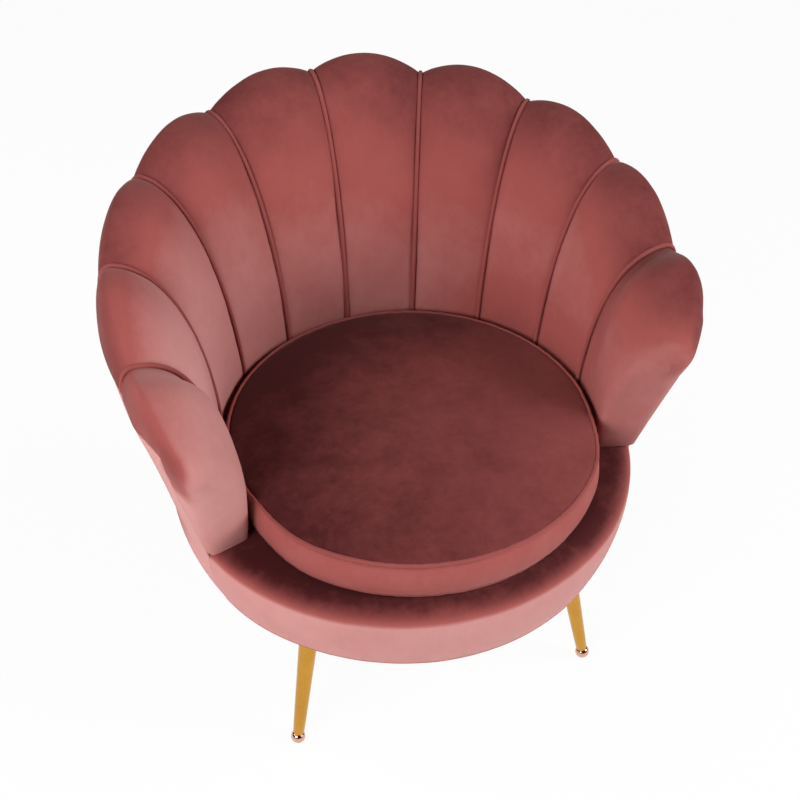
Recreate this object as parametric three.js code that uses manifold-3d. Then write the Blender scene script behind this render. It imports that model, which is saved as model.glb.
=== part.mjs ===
// Scallop back chair: a round upholstered seat base on four slanted metal legs, a loose round
// cushion, and a shell back of ten padded petals that fall from the middle to the arms.
// Millimetres, +Z up, the sitter faces -Y. Angles round the seat run from the middle of the back.
import * as THREE from 'three';
import { mergeVertices } from 'three/addons/utils/BufferGeometryUtils.js';
import Module from 'manifold-3d';

const wasm = await Module();
wasm.setup();

// Clearances: hard parts that touch, padding that touches, padding over curved plywood, and
// padding over the plywood of the arms, where it curves most
const fitGap = 0.3;
const softGap = 0.4;
const shellGap = 0.9;
const armShellGap = 2.8;
const cutOverrun = 30;

// Seat base
const underside = 238;
const frameRecess = 6;
const frameHeight = 102;
const topPadding = 9;
const plyThickness = 18;
const baseSetback = 37.5;
const baseRadius = 330;
const basePadding = 42;
const ringRadius = baseRadius - basePadding;
const ringWidth = 83;
const baseTaper = 18.5;
const shoulderWidth = 30;
const shoulderDrop = 22;
const cornerRadius = 6;
const lipLap = 40;
const hemWidth = 20;
const coverThickness = 3;
const blockWidth = 40;
const blockDepth = 60;
const dustCoverInset = 7;
const dustCoverThickness = 1.5;
const strapWidth = 60;
const strapThickness = 2;
const strapSpacing = 150;
const strapSeat = 15;
const deckClearance = 5.5;
const deckRadius = ringRadius - lipLap - baseSetback - deckClearance;
const deckThickness = 5;
const deckEdge = 2;

// The petals' inner face at the seat, and the cushion that fits between them
const footPadding = 23;
const wallRadius = ringRadius - footPadding;
const cushionPlay = 10;
const cushionSeamRadius = wallRadius - cushionPlay;
const cushionBulge = 6;
const cushionBand = 58;
const cushionEdgeRise = 5;
const cushionCrown = 19;
const crownRadiusShares = [0.94, 0.82, 0.62, 0.34];
const cushionCloth = 2;
const zipWidth = 300;
const zipHeight = 4;
const pipingRadius = 2.8;

// Petals and shell
const rimRise = 404;
const rimFlare = 144;
const rimRiseShares = [1, 0.95, 0.905, 0.82, 0.7, 0.65];
const rimFlareShares = [0.958, 1, 0.93, 0.843, 0.722, 0.7];
const petalFootAngle = 21.4;
const petalRimAngle = 22.4;
const footHandleShare = 0.5;
const rimHandleShares = [0.57, 0.57, 0.6, 0.68, 0.8, 0.8];
const petalPuff = 12;
const puffPeakShare = 4 / 27;
const scallopRise = 31;
const scallopReach = 5;
const scallopPowerShare = 0.75;
const armScallopPowerShare = 1.2;
const rollReach = 22;
const rollDrop = 32;
const rollTuck = 4;
const rollFlap = 20;
const rimPadding = 38;
const rimBackPadding = 15;
const armFootEndAngle = 100.5;
const armRimEndAngle = 92.5;
const armWallAngle = 0.25;
const noseStartAngle = 101;
const noseFootAngle = 105.3;
const noseRimAngle = 115;
const nosePowerShares = [6, 3.2];
const noseEndShare = 0.93;
const panelThickness = 12;
const panelPowerShare = 1.3;
const outerCoverInset = 3;
const ribThickness = 18;
const ribInset = 10;
const ribGap = 1.1;
const weltRadius = 2.6;
const weltStandoff = 1.9;
const weltTail = 18;

// Legs and feet
const legBearingAngle = 39.7;
const legInset = 41.5;
const legSplay = 50.3;
const legTopRadius = 15;
const legTipRadius = 8;
const legBore = 4.4;
const legBoreDepth = 30;
const ballRadius = 10.5;
const ballFlat = 0.7;
const glideStem = 22;
const plateWidth = 62;
const plateThickness = 3;
const plateCorner = 8;
const studRadius = 4;
const studHole = 4.4;
const studStickout = 8;

// Petals each side of the middle of the back before the arm, and ribs each side of it
const petalsAside = 4;
const ribsAside = 2;
const fullTurn = 360;

// Steps and sides of the curved faces
const petalColumns = 8;
const faceSteps = 8;
const rollSteps = 4;
const backSteps = 4;
const shellColumns = 4;
const weltSteps = 24;
const pipingSides = 6;
const lipColumns = 20;
const shoulderSteps = 5;
const sideSteps = 5;
const bandSteps = 6;
const cornerSteps = 3;
const discSides = 40;
const deckSides = 32;
const cushionSides = 36;
const foamSides = cushionSides / 2;
const footSides = 12;
const holeSides = 8;

// Heights that follow
const frameBottom = underside + frameRecess;
const frameTop = frameBottom + frameHeight;
const lipTop = frameTop + topPadding;
const cornerTop = underside + cornerRadius;
const lowerRingTop = frameBottom + plyThickness;
const upperRingBottom = frameTop - plyThickness;
const strapBottom = frameTop + fitGap;
const deckBottom = strapBottom + 2 * strapThickness + 2 * fitGap;
const deckTop = deckBottom + deckThickness;
const cushionBottom = deckTop + softGap;
const petalFoot = frameTop + softGap;
const armFoot = lipTop + softGap;
const plateBottom = frameBottom - dustCoverThickness - 2 * fitGap - plateThickness;

const velvet = { color: 0xa25450, roughness: 0.85, metalness: 0 };
const foam = { color: 0xe8dcb8, roughness: 0.95, metalness: 0 };
const plywood = { color: 0xc9a070, roughness: 0.75, metalness: 0 };
const webbing = { color: 0x3b3936, roughness: 0.9, metalness: 0 };
const blackCloth = { color: 0x1d1c1d, roughness: 0.95, metalness: 0 };
const goldMetal = { color: 0xc79a3f, roughness: 0.3, metalness: 0.9 };
const steel = { color: 0xa7a8aa, roughness: 0.35, metalness: 0.9 };
const roseMetal = { color: 0xd7a591, roughness: 0.2, metalness: 0.95 };

const chair = new THREE.Group();

// Shares from 0 to 1 in equal steps
function steps(count) {
  return Array.from({ length: count + 1 }, (unused, index) => index / count);
}

function pieceMesh(name, geometry, look) {
  const mesh = new THREE.Mesh(geometry, new THREE.MeshStandardMaterial(look));
  mesh.name = name;
  return mesh;
}

// A point at an angle from the middle of the back, positive towards +X
function around(degrees, radius, height) {
  const turn = THREE.MathUtils.degToRad(degrees);
  return new THREE.Vector3(radius * Math.sin(turn), radius * Math.cos(turn), height);
}

// Distance from the cushion's axis, at an angle, of a circle round the seat base's axis
function fromBaseAxis(degrees, circleRadius) {
  const turn = THREE.MathUtils.degToRad(degrees);
  const aside = baseSetback * Math.sin(turn);
  return baseSetback * Math.cos(turn) + Math.sqrt(circleRadius ** 2 - aside ** 2);
}

function mix(first, second, share) {
  return first + (second - first) * share;
}

// A value between the entries of a table that has one entry a seam
function atSeam(shares, seam) {
  const whole = Math.min(Math.floor(seam), shares.length - 2);
  return mix(shares[whole], shares[whole + 1], seam - whole);
}

function signedVolume(positions, triangles) {
  const corner = (index) => new THREE.Vector3().fromArray(positions, 3 * index);
  let six = 0;
  for (let index = 0; index < triangles.length; index += 3) {
    const [first, second, third] = triangles.slice(index, index + 3).map(corner);
    six += first.dot(second.cross(third));
  }
  return six / 6;
}

// A closed solid through sections, each the same number of points round a closed outline
function loft(sections, capOutline) {
  const count = sections[0].length;
  const positions = sections.flat().flatMap((point) => point.toArray());
  const triangles = [];
  for (let row = 0; row + 1 < sections.length; row += 1) {
    for (let index = 0; index < count; index += 1) {
      const here = row * count + index;
      const beside = row * count + (index + 1) % count;
      triangles.push(here, beside, here + count, beside, beside + count, here + count);
    }
  }
  const last = (sections.length - 1) * count;
  const backwards = THREE.ShapeUtils.isClockWise(capOutline[0]);
  const facing = (triangle) => (backwards ? triangle.reverse() : triangle);
  for (const triangle of THREE.ShapeUtils.triangulateShape(capOutline[0], [])) {
    triangles.push(...facing(triangle).reverse());
  }
  for (const triangle of THREE.ShapeUtils.triangulateShape(capOutline[1], [])) {
    triangles.push(...facing(triangle).map((index) => last + index));
  }
  if (signedVolume(positions, triangles) < 0) {
    triangles.reverse();
  }
  const geometry = new THREE.BufferGeometry();
  geometry.setAttribute('position', new THREE.Float32BufferAttribute(positions, 3));
  geometry.setIndex(triangles);
  return geometry;
}

// Lofts flat outlines in radius and height, one for each angle, round the seat
function loftAround(columns) {
  const sections = columns.map(({ degrees, outline }) => outline.map(
    (point, index) => around(degrees[index] ?? degrees, point.x, point.y),
  ));
  return loft(sections, [columns[0].outline, columns[columns.length - 1].outline]);
}

function solidOf(geometry) {
  const bare = geometry.clone();
  bare.deleteAttribute('normal');
  bare.deleteAttribute('uv');
  const merged = mergeVertices(bare);
  return new wasm.Manifold(new wasm.Mesh({
    numProp: 3,
    vertProperties: merged.attributes.position.array,
    triVerts: Uint32Array.from(merged.index.array),
  }));
}

function geometryOf(solid) {
  const mesh = solid.getMesh();
  const geometry = new THREE.BufferGeometry();
  geometry.setAttribute('position', new THREE.BufferAttribute(mesh.vertProperties, 3));
  geometry.setIndex(new THREE.BufferAttribute(mesh.triVerts, 1));
  return geometry;
}

function cut(geometry, tool) {
  return geometryOf(solidOf(geometry).subtract(solidOf(tool)));
}

function lathe(profile, sides) {
  const turned = new THREE.LatheGeometry(profile, sides);
  turned.rotateX(Math.PI / 2);
  return turned;
}

// The corners of a circle drawn with so many sides
function circlePoints(place, radius, sides) {
  return steps(sides).slice(1).map((share) => new THREE.Vector2(
    place.x + radius * Math.cos(share * 2 * Math.PI),
    place.y + radius * Math.sin(share * 2 * Math.PI),
  ));
}

// A flat plate of an outline in X and Y, raised from a height
function flatPlate(shape, height, thickness) {
  const plate = new THREE.ExtrudeGeometry(shape, { depth: thickness, bevelEnabled: false });
  plate.translate(0, 0, height);
  return plate;
}

// The rim at a seam's count from the middle of the back
function rimHeight(seam) {
  return frameTop + rimRise * atSeam(rimRiseShares, seam);
}

function rimRadius(seam) {
  return wallRadius + rimFlare * atSeam(rimFlareShares, seam);
}

// The bent plywood panel's inner face: upright round the seat frame, flared above it
function panelTop(seam) {
  return rimHeight(seam) - rimPadding - softGap;
}

function panelInside(degrees, height) {
  const seam = Math.abs(degrees) / petalRimAngle;
  const foot = fromBaseAxis(degrees, ringRadius + shellGap);
  const share = Math.max(0, (height - frameTop) / (panelTop(seam) - frameTop));
  return mix(foot, rimRadius(seam) - rimBackPadding, share ** panelPowerShare);
}

// The seat base's tapering side in front, which the outer cover carries on behind the arms
function baseSide(height) {
  const drop = (lipTop - shoulderDrop - height) / (lipTop - shoulderDrop - cornerTop);
  return baseRadius - baseTaper * Math.max(0, drop) ** 2;
}

// The outer cover's outside: from the seat base's lower edge up to just under the rolled rim
function outerCoverTop(seam) {
  return rimHeight(seam) - rollDrop - rollFlap - softGap;
}

function outerCoverOutside(degrees, height) {
  const seam = Math.abs(degrees) / petalRimAngle;
  const foot = fromBaseAxis(degrees, baseSide(height));
  const top = rimRadius(seam) + rollReach - rollTuck - outerCoverInset;
  const start = lipTop - shoulderDrop;
  const share = Math.max(0, height - start) / (outerCoverTop(seam) - start);
  return mix(foot, top, share);
}

// A petal's seam angle leans outwards a little from the seat to the rim
function seamAngle(seam, share) {
  return seam * mix(petalFootAngle, petalRimAngle, share);
}

// The petal's inner face at a seam's count: flares from the seat and rolls level at the rim
function innerFace(seam, bulge, foot) {
  const top = rimHeight(seam) + scallopRise * bulge.scallop;
  const flare = rimRadius(seam) + scallopReach * bulge.scallop - wallRadius;
  const rise = top - foot;
  return new THREE.CubicBezierCurve(
    new THREE.Vector2(wallRadius, foot),
    new THREE.Vector2(wallRadius, foot + footHandleShare * rise),
    new THREE.Vector2(wallRadius + flare * (1 - atSeam(rimHandleShares, seam)), top),
    new THREE.Vector2(wallRadius + flare, top),
  );
}

// How far a petal swells at a share of its width
function bulgeAt(across, powerShare) {
  const swell = Math.sin(Math.PI * Math.min(Math.max(across, 0), 1));
  return { puff: swell, scallop: swell ** powerShare };
}

// One upright section of a petal: inner face, roll over the rim, flap behind the panel, back.
// Each point has a share of the seam's lean, so neighbouring petals part along one line.
function petalSection(seam, bulge, foot, angleAt, backGap = shellGap) {
  const face = innerFace(seam, bulge, foot);
  const points = [];
  const leans = [];
  for (const share of steps(faceSteps)) {
    const spot = face.getPoint(share);
    spot.x -= petalPuff * bulge.puff * share ** 2 * (1 - share) / puffPeakShare;
    points.push(spot);
    leans.push((spot.y - foot) / (face.v3.y - foot));
  }
  const flapBottom = rimHeight(seam) - rollDrop - rollFlap;
  for (const share of steps(rollSteps).slice(1)) {
    const turn = share * Math.PI / 2;
    const reach = rollReach * Math.sin(turn);
    const drop = (rollDrop + scallopRise * bulge.scallop) * (1 - Math.cos(turn));
    points.push(new THREE.Vector2(face.v3.x + reach, face.v3.y - drop));
  }
  points.push(new THREE.Vector2(rimRadius(seam) + rollReach - rollTuck, flapBottom));
  const slotTop = rimHeight(seam) - rimPadding;
  const panelBack = panelInside(angleAt(1), slotTop) + panelThickness + backGap / 2;
  points.push(new THREE.Vector2(panelBack, flapBottom));
  points.push(new THREE.Vector2(panelBack, slotTop));
  while (leans.length < points.length) {
    leans.push(1);
  }
  for (const share of steps(backSteps)) {
    const height = mix(slotTop, foot, share);
    points.push(new THREE.Vector2(panelInside(angleAt(1 - share), height) - backGap, height));
    leans.push(1 - share);
  }
  return { points, leans };
}

// A petal between two seams, with the seams counted from the middle of the back
function backPetal(firstSeam, side) {
  const halfGap = softGap / 2 / wallRadius / THREE.MathUtils.degToRad(1);
  const columns = steps(petalColumns).map((across) => {
    const seam = firstSeam + across;
    const angleAt = (lean) => seamAngle(seam, lean) + mix(halfGap, -halfGap, across);
    const bulge = bulgeAt(across, scallopPowerShare);
    const { points, leans } = petalSection(seam, bulge, petalFoot, angleAt);
    return { degrees: leans.map((lean) => side * angleAt(lean)), outline: points };
  });
  return loftAround(columns);
}

// Where the panel and the outer cover stop in the arm: a line that leans back towards the rim
function armEnd(lean) {
  return mix(armFootEndAngle, armRimEndAngle, lean);
}

// An arm's full section in front of the panel and the outer cover, with a padded outer face
function armFrontSection(angleAt, foot) {
  const seam = angleAt(1) / petalRimAngle;
  const bulge = bulgeAt(seam - petalsAside, armScallopPowerShare);
  const { points, leans } = petalSection(seam, bulge, foot, angleAt);
  const rollEnd = faceSteps + rollSteps;
  const shoulder = points[rollEnd];
  const rest = points.length - rollEnd - 1;
  for (let index = 1; index <= rest; index += 1) {
    const height = mix(shoulder.y, foot, index / rest);
    const lean = 1 - index / rest;
    const flush = outerCoverOutside(angleAt(lean), height);
    points[rollEnd + index].set(Math.min(flush, shoulder.x), height);
    leans[rollEnd + index] = lean;
  }
  return { points, leans };
}

// Draws a section in towards its middle line, as the arm's front rounds off, less so at its foot
function roundedSection({ points, leans }, forward) {
  const core = points[faceSteps].y - rimPadding;
  const middle = (height) => {
    const reach = points.filter((point) => Math.abs(point.y - height) < rimPadding);
    const radii = reach.map((point) => point.x);
    return (Math.min(...radii) + Math.max(...radii)) / 2;
  };
  return points.map((point, index) => {
    const power = mix(...nosePowerShares, leans[index]);
    const height = Math.min(point.y, core);
    const centre = new THREE.Vector2(middle(height), height);
    const drawn = point.clone().sub(centre).multiplyScalar((1 - forward ** power) ** (1 / power));
    return drawn.add(centre);
  });
}

// The end petal, which is the arm: hooked over the panel, then full, then a rounded nose
function armPetal(side) {
  const halfGap = softGap / 2 / wallRadius / THREE.MathUtils.degToRad(1);
  const column = ({ points, leans }, angleAt) => (
    { degrees: leans.map((lean) => side * angleAt(lean)), outline: points }
  );
  const hooked = steps(petalColumns / 2).map((share) => {
    const angleAt = (lean) => mix(seamAngle(petalsAside, lean) + halfGap, armEnd(lean), share);
    const seam = angleAt(1) / petalRimAngle;
    const bulge = bulgeAt(seam - petalsAside, armScallopPowerShare);
    return column(petalSection(seam, bulge, petalFoot, angleAt, armShellGap), angleAt);
  });
  const full = steps(petalColumns / 2).map((share) => {
    const angleAt = (lean) => mix(armEnd(lean) + armWallAngle, noseStartAngle, share);
    return column(armFrontSection(angleAt, armFoot), angleAt);
  });
  const nose = steps(petalColumns / 2).slice(1).map((share) => {
    const forward = noseEndShare * Math.sin(share * Math.PI / 2);
    const angleAt = (lean) => (
      mix(noseStartAngle, mix(noseFootAngle, noseRimAngle, lean), forward)
    );
    const section = armFrontSection(angleAt, armFoot);
    section.points = roundedSection(section, forward);
    return column(section, angleAt);
  });
  return loftAround([...hooked, ...full, ...nose]);
}

// The shell's upright lines, so many to a petal, from one arm's leaning end to the other's
function shellLines(linesToPetal) {
  const armReach = THREE.MathUtils.radToDeg(fitGap / wallRadius);
  const back = steps(petalsAside * linesToPetal).map((share) => (
    () => share * petalsAside * petalRimAngle
  ));
  const arm = steps(linesToPetal).slice(1).map((share) => (
    (lean) => mix(petalsAside * petalRimAngle, armEnd(lean) - armReach, share)
  ));
  const half = [...back, ...arm];
  const mirrored = half.slice(1).reverse().map((angleAt) => (lean) => -angleAt(lean));
  return [...mirrored, ...half];
}

// The heights of a shell's level lines above the lower ring
function shellHeights(top) {
  return [upperRingBottom, ...steps(backSteps).map((share) => mix(frameTop, top, share))];
}

// A thin upright shell between two faces given as functions of angle and height
function shell(inside, outside, bottom, topAt) {
  const columns = shellLines(shellColumns).map((angleAt) => {
    const top = topAt(Math.abs(angleAt(1)) / petalRimAngle);
    const heights = [bottom, lowerRingTop, ...shellHeights(top)];
    const angles = heights.map((height) => (
      angleAt(Math.max(0, (height - frameTop) / (top - frameTop)))
    ));
    const face = (radiusAt) => heights.map((height, index) => (
      new THREE.Vector2(radiusAt(angles[index], height), height)
    ));
    return {
      degrees: [...angles, ...angles.slice().reverse()],
      outline: [...face(inside), ...face(outside).reverse()],
    };
  });
  return loftAround(columns);
}

function backPanel() {
  const outside = (degrees, height) => panelInside(degrees, height) + panelThickness;
  return shell(panelInside, outside, frameBottom, panelTop);
}

function outerCover() {
  const inside = (degrees, height) => outerCoverOutside(degrees, height) - coverThickness;
  return shell(inside, outerCoverOutside, underside, outerCoverTop);
}

// An upright rib that fills the space between the panel and the outer cover
function backRib(degrees) {
  const halfTurn = THREE.MathUtils.radToDeg(ribThickness / 2 / ringRadius);
  const columns = [degrees - halfTurn, degrees, degrees + halfTurn].map((angle) => {
    const top = outerCoverTop(Math.abs(angle) / petalRimAngle) - ribInset;
    const heights = [lowerRingTop, ...shellHeights(top)];
    const inner = heights.map((height) => new THREE.Vector2(
      panelInside(angle, height) + panelThickness + ribGap, height,
    ));
    const outer = heights.map((height) => new THREE.Vector2(
      outerCoverOutside(angle, height) - coverThickness - ribGap, height,
    ));
    return { degrees: angle, outline: [...inner, ...outer.reverse()] };
  });
  return loftAround(columns);
}

// Piping in the valley between two petals, from the seat over the rim and down the back
function petalWelt(seam) {
  const count = Math.abs(seam);
  const side = Math.sign(seam) || 1;
  const flat = { puff: 0, scallop: 0 };
  const angleAt = (lean) => seamAngle(count, lean);
  const { points, leans } = petalSection(count, flat, petalFoot, angleAt);
  const shown = points.slice(0, faceSteps + rollSteps + 1);
  const standoff = weltRadius + weltStandoff;
  const clearOfCushion = cushionSeamRadius + 2 * pipingRadius + 2 * softGap + weltRadius;
  const line = [];
  shown.forEach((point, index) => {
    const before = shown[Math.max(index - 1, 0)];
    const after = shown[Math.min(index + 1, shown.length - 1)];
    const along = after.clone().sub(before).normalize();
    const out = new THREE.Vector2(-along.y, along.x).multiplyScalar(standoff);
    const spot = point.clone().add(out);
    if (spot.x > clearOfCushion) {
      line.push(around(side * angleAt(leans[index]), spot.x, spot.y));
    }
  });
  const tail = line[line.length - 1].clone();
  tail.z -= weltTail;
  line.push(tail);
  const path = new THREE.CatmullRomCurve3(line);
  const origin = new THREE.Vector2(0, 0);
  const section = new THREE.Shape(circlePoints(origin, weltRadius, pipingSides));
  return new THREE.ExtrudeGeometry(section, {
    steps: weltSteps, extrudePath: path, bevelEnabled: false,
  });
}

// The seat base's front lip in radius and height: top, shoulder, tapering side, lower corner
function lipOutline(inset) {
  const top = lipTop - inset;
  const bottom = underside + inset;
  const shoulderHeight = lipTop - shoulderDrop;
  const points = [new THREE.Vector2(ringRadius - lipLap, top)];
  for (const share of steps(shoulderSteps)) {
    const turn = (1 - share) * Math.PI / 2;
    points.push(new THREE.Vector2(
      baseRadius - shoulderWidth + (shoulderWidth - inset) * Math.cos(turn),
      shoulderHeight + (shoulderDrop - inset) * Math.sin(turn),
    ));
  }
  for (const share of steps(sideSteps).slice(1)) {
    const height = mix(shoulderHeight, cornerTop, share);
    points.push(new THREE.Vector2(baseSide(height) - inset, height));
  }
  const foot = baseRadius - baseTaper - cornerRadius;
  points.push(new THREE.Vector2(foot, bottom));
  points.push(new THREE.Vector2(foot - hemWidth + inset, bottom));
  return points;
}

function lipAngles() {
  const clear = armFootEndAngle + armWallAngle + THREE.MathUtils.radToDeg(fitGap / wallRadius);
  return steps(lipColumns).map((share) => mix(clear, fullTurn - clear, share));
}

function loftLip(outline) {
  const columns = lipAngles().map((degrees) => ({
    degrees,
    outline: outline.map((point) => new THREE.Vector2(fromBaseAxis(degrees, point.x), point.y)),
  }));
  return loftAround(columns);
}

function lipCover() {
  const outside = lipOutline(0);
  const inside = lipOutline(coverThickness).reverse();
  return loftLip([...outside, ...inside]);
}

function lipFoam() {
  const outside = lipOutline(coverThickness + softGap);
  const frameFace = ringRadius + shellGap + softGap;
  const behind = [
    new THREE.Vector2(frameFace, underside + coverThickness + softGap),
    new THREE.Vector2(frameFace, frameTop + softGap),
    new THREE.Vector2(ringRadius - lipLap, frameTop + softGap),
  ];
  return loftLip([...outside.slice(0, -1), ...behind]);
}

// Where the four legs stand, seen from the seat base's axis
const legSigns = [[-1, -1], [1, -1], [-1, 1], [1, 1]];
const legNames = ['front_left', 'front_right', 'rear_left', 'rear_right'];

// A leg's place at a distance from the seat base's axis
function legPlace([sideways, fore], distance) {
  const turn = THREE.MathUtils.degToRad(legBearingAngle);
  const aside = sideways * distance * Math.cos(turn);
  return new THREE.Vector2(aside, baseSetback + fore * distance * Math.sin(turn));
}

function legTopPlace(signs) {
  return legPlace(signs, ringRadius - legInset);
}

function legFootPlace(signs) {
  return legPlace(signs, ringRadius - legInset + legSplay);
}

function baseDisc(radius) {
  return new THREE.Shape(circlePoints(new THREE.Vector2(0, baseSetback), radius, discSides));
}

function studHoles() {
  return legSigns.map((signs) => (
    new THREE.Path(circlePoints(legTopPlace(signs), studHole, holeSides).reverse())
  ));
}

function seatRing(height, withStuds) {
  const ring = baseDisc(ringRadius);
  const opening = baseDisc(ringRadius - ringWidth);
  ring.holes.push(new THREE.Path(opening.getPoints().reverse()));
  if (withStuds) {
    ring.holes.push(...studHoles());
  }
  return flatPlate(ring, height, plyThickness);
}

function dustCover() {
  const cloth = baseDisc(ringRadius - dustCoverInset);
  cloth.holes.push(...studHoles());
  return flatPlate(cloth, frameBottom - dustCoverThickness - fitGap, dustCoverThickness);
}

// A block between the rings, at an angle from the middle of the back
function frameBlock(degrees) {
  const height = upperRingBottom - lowerRingTop - 2 * fitGap;
  const block = new THREE.BoxGeometry(blockWidth, blockDepth, height);
  block.translate(0, ringRadius - ringWidth / 2, lowerRingTop + fitGap + height / 2);
  block.rotateZ(-THREE.MathUtils.degToRad(degrees));
  block.translate(0, baseSetback, 0);
  return block;
}

// How far a strap's far edge may run inside a circle, short of the petals or the front lip
function strapReach(farEdge, radius) {
  return Math.sqrt((radius - strapSeat) ** 2 - farEdge ** 2);
}

function longStrap(side) {
  const offset = strapSpacing / 2;
  const farEdge = offset + strapWidth / 2;
  const back = strapReach(farEdge, wallRadius);
  const front = baseSetback - strapReach(farEdge, ringRadius - lipLap);
  const strap = new THREE.BoxGeometry(strapWidth, back - front, strapThickness);
  strap.translate(side * offset, (back + front) / 2, strapBottom + strapThickness / 2);
  return strap;
}

function crossStrap(side) {
  const offset = strapSpacing / 2;
  const farEdge = offset + strapWidth / 2;
  const fromBase = Math.abs(side * farEdge - baseSetback);
  const reach = Math.min(
    strapReach(farEdge, wallRadius), strapReach(fromBase, ringRadius - lipLap),
  );
  const strap = new THREE.BoxGeometry(2 * reach, strapWidth, strapThickness);
  const height = strapBottom + strapThickness + fitGap + strapThickness / 2;
  strap.translate(0, side * offset, height);
  return strap;
}

function deckPad() {
  return lathe([
    new THREE.Vector2(0, deckBottom),
    new THREE.Vector2(deckRadius, deckBottom),
    new THREE.Vector2(deckRadius, deckTop - deckEdge),
    new THREE.Vector2(deckRadius - deckEdge, deckTop),
    new THREE.Vector2(0, deckTop),
  ], deckSides);
}

// The cushion's outline from its underside's middle to its crown, drawn in at the two seams
function cushionOutline(inset) {
  const lowerSeam = cushionBottom + cushionEdgeRise;
  const upperSeam = lowerSeam + cushionBand;
  const crest = upperSeam + cushionCrown;
  const seamRadius = cushionSeamRadius - inset;
  const points = [new THREE.Vector2(0, cushionBottom + inset)];
  points.push(new THREE.Vector2(deckRadius - inset, cushionBottom + inset));
  for (const share of steps(bandSteps)) {
    const bulge = cushionBulge * Math.sin(share * Math.PI);
    const height = mix(lowerSeam + inset / 2, upperSeam - inset / 2, share);
    points.push(new THREE.Vector2(seamRadius + bulge, height));
  }
  for (const share of crownRadiusShares) {
    const rise = (cushionCrown - inset / 2) * Math.sqrt(1 - share ** 3);
    points.push(new THREE.Vector2(seamRadius * share, upperSeam - inset / 2 + rise));
  }
  points.push(new THREE.Vector2(0, crest - inset));
  return points;
}

function cushionCover() {
  const outside = lathe(cushionOutline(0), cushionSides);
  const hollow = lathe(cushionOutline(cushionCloth), cushionSides);
  const zip = new THREE.BoxGeometry(zipWidth, cutOverrun * 2, zipHeight);
  zip.translate(0, cushionSeamRadius, cushionBottom + cushionEdgeRise + cushionBand / 2);
  return geometryOf(solidOf(outside).subtract(solidOf(hollow)).subtract(solidOf(zip)));
}

function cushionFoam() {
  return lathe(cushionOutline(cushionCloth + softGap), foamSides);
}

function cushionPiping(height) {
  const centre = cushionSeamRadius + pipingRadius + softGap;
  const ring = circlePoints(new THREE.Vector2(centre, height), pipingRadius, pipingSides);
  ring.push(ring[0].clone());
  return lathe(ring, cushionSides);
}

// A leg's direction, down along its axis from the plate to the floor
function legDirection(signs) {
  const splay = legFootPlace(signs).sub(legTopPlace(signs));
  return new THREE.Vector3(splay.x, splay.y, ballRadius - plateBottom).normalize();
}

// The ball foot's middle on the leg's axis
function ballMiddle(signs) {
  const place = legFootPlace(signs);
  return new THREE.Vector3(place.x, place.y, ballRadius - ballFlat);
}

// Stands a geometry made along +Z on the leg's axis, with zero at the ball foot's middle
function alongLeg(geometry, signs) {
  const upwards = legDirection(signs).negate();
  const turn = new THREE.Quaternion().setFromUnitVectors(new THREE.Vector3(0, 0, 1), upwards);
  const place = ballMiddle(signs);
  geometry.applyQuaternion(turn);
  geometry.translate(place.x, place.y, place.z);
  return geometry;
}

function trimBlock(bottom, top) {
  const block = new THREE.BoxGeometry(4 * ringRadius, 4 * ringRadius, top - bottom);
  block.translate(0, 0, (top + bottom) / 2);
  return block;
}

// Height on the ball where it meets the leg's tip
const tipSeat = Math.sqrt(ballRadius ** 2 - legTipRadius ** 2);

function legTube(signs) {
  const tip = tipSeat + fitGap;
  const slope = (legTopRadius - legTipRadius) / plateBottom;
  const end = plateBottom + cutOverrun;
  const tube = lathe([
    new THREE.Vector2(0, tip + legBoreDepth),
    new THREE.Vector2(legBore, tip + legBoreDepth),
    new THREE.Vector2(legBore, tip),
    new THREE.Vector2(legTipRadius, tip),
    new THREE.Vector2(legTipRadius + slope * end, end),
    new THREE.Vector2(0, end),
  ], footSides);
  const above = trimBlock(plateBottom - fitGap, plateBottom + 2 * cutOverrun);
  return cut(alongLeg(tube, signs), above);
}

function footGlide(signs) {
  const start = Math.asin(tipSeat / ballRadius);
  const profile = steps(holeSides / 2).map((share) => {
    const turn = mix(-Math.PI / 2, start, share);
    return new THREE.Vector2(ballRadius * Math.cos(turn), ballRadius * Math.sin(turn));
  });
  profile[0].x = 0;
  profile.push(new THREE.Vector2(legBore - fitGap, tipSeat));
  profile.push(new THREE.Vector2(legBore - fitGap, tipSeat + glideStem));
  profile.push(new THREE.Vector2(0, tipSeat + glideStem));
  return cut(alongLeg(lathe(profile, footSides), signs), trimBlock(-cutOverrun, 0));
}

function legPlate(signs) {
  const origin = new THREE.Vector2(0, 0);
  const half = plateWidth / 2;
  const inner = half - plateCorner;
  const outline = new THREE.Shape(steps(4).slice(1).flatMap((quarter) => {
    const middle = new THREE.Vector2(inner, inner).rotateAround(origin, quarter * 2 * Math.PI);
    const corner = steps(cornerSteps).map((share) => new THREE.Vector2(plateCorner, 0).rotateAround(
      origin, (quarter + share / 4) * 2 * Math.PI,
    ));
    return corner.map((point) => point.add(middle));
  }));
  outline.holes.push(new THREE.Path(circlePoints(origin, studHole, holeSides).reverse()));
  const plate = flatPlate(outline, plateBottom, plateThickness);
  const place = legTopPlace(signs);
  plate.rotateZ(Math.atan2(place.y - baseSetback, place.x));
  plate.translate(place.x, place.y, 0);
  return plate;
}

function legStud(signs) {
  const length = lowerRingTop + studStickout - plateBottom;
  const stud = new THREE.CylinderGeometry(studRadius, studRadius, length, holeSides);
  stud.rotateX(Math.PI / 2);
  const place = legTopPlace(signs);
  stud.translate(place.x, place.y, plateBottom + length / 2);
  return stud;
}

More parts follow.
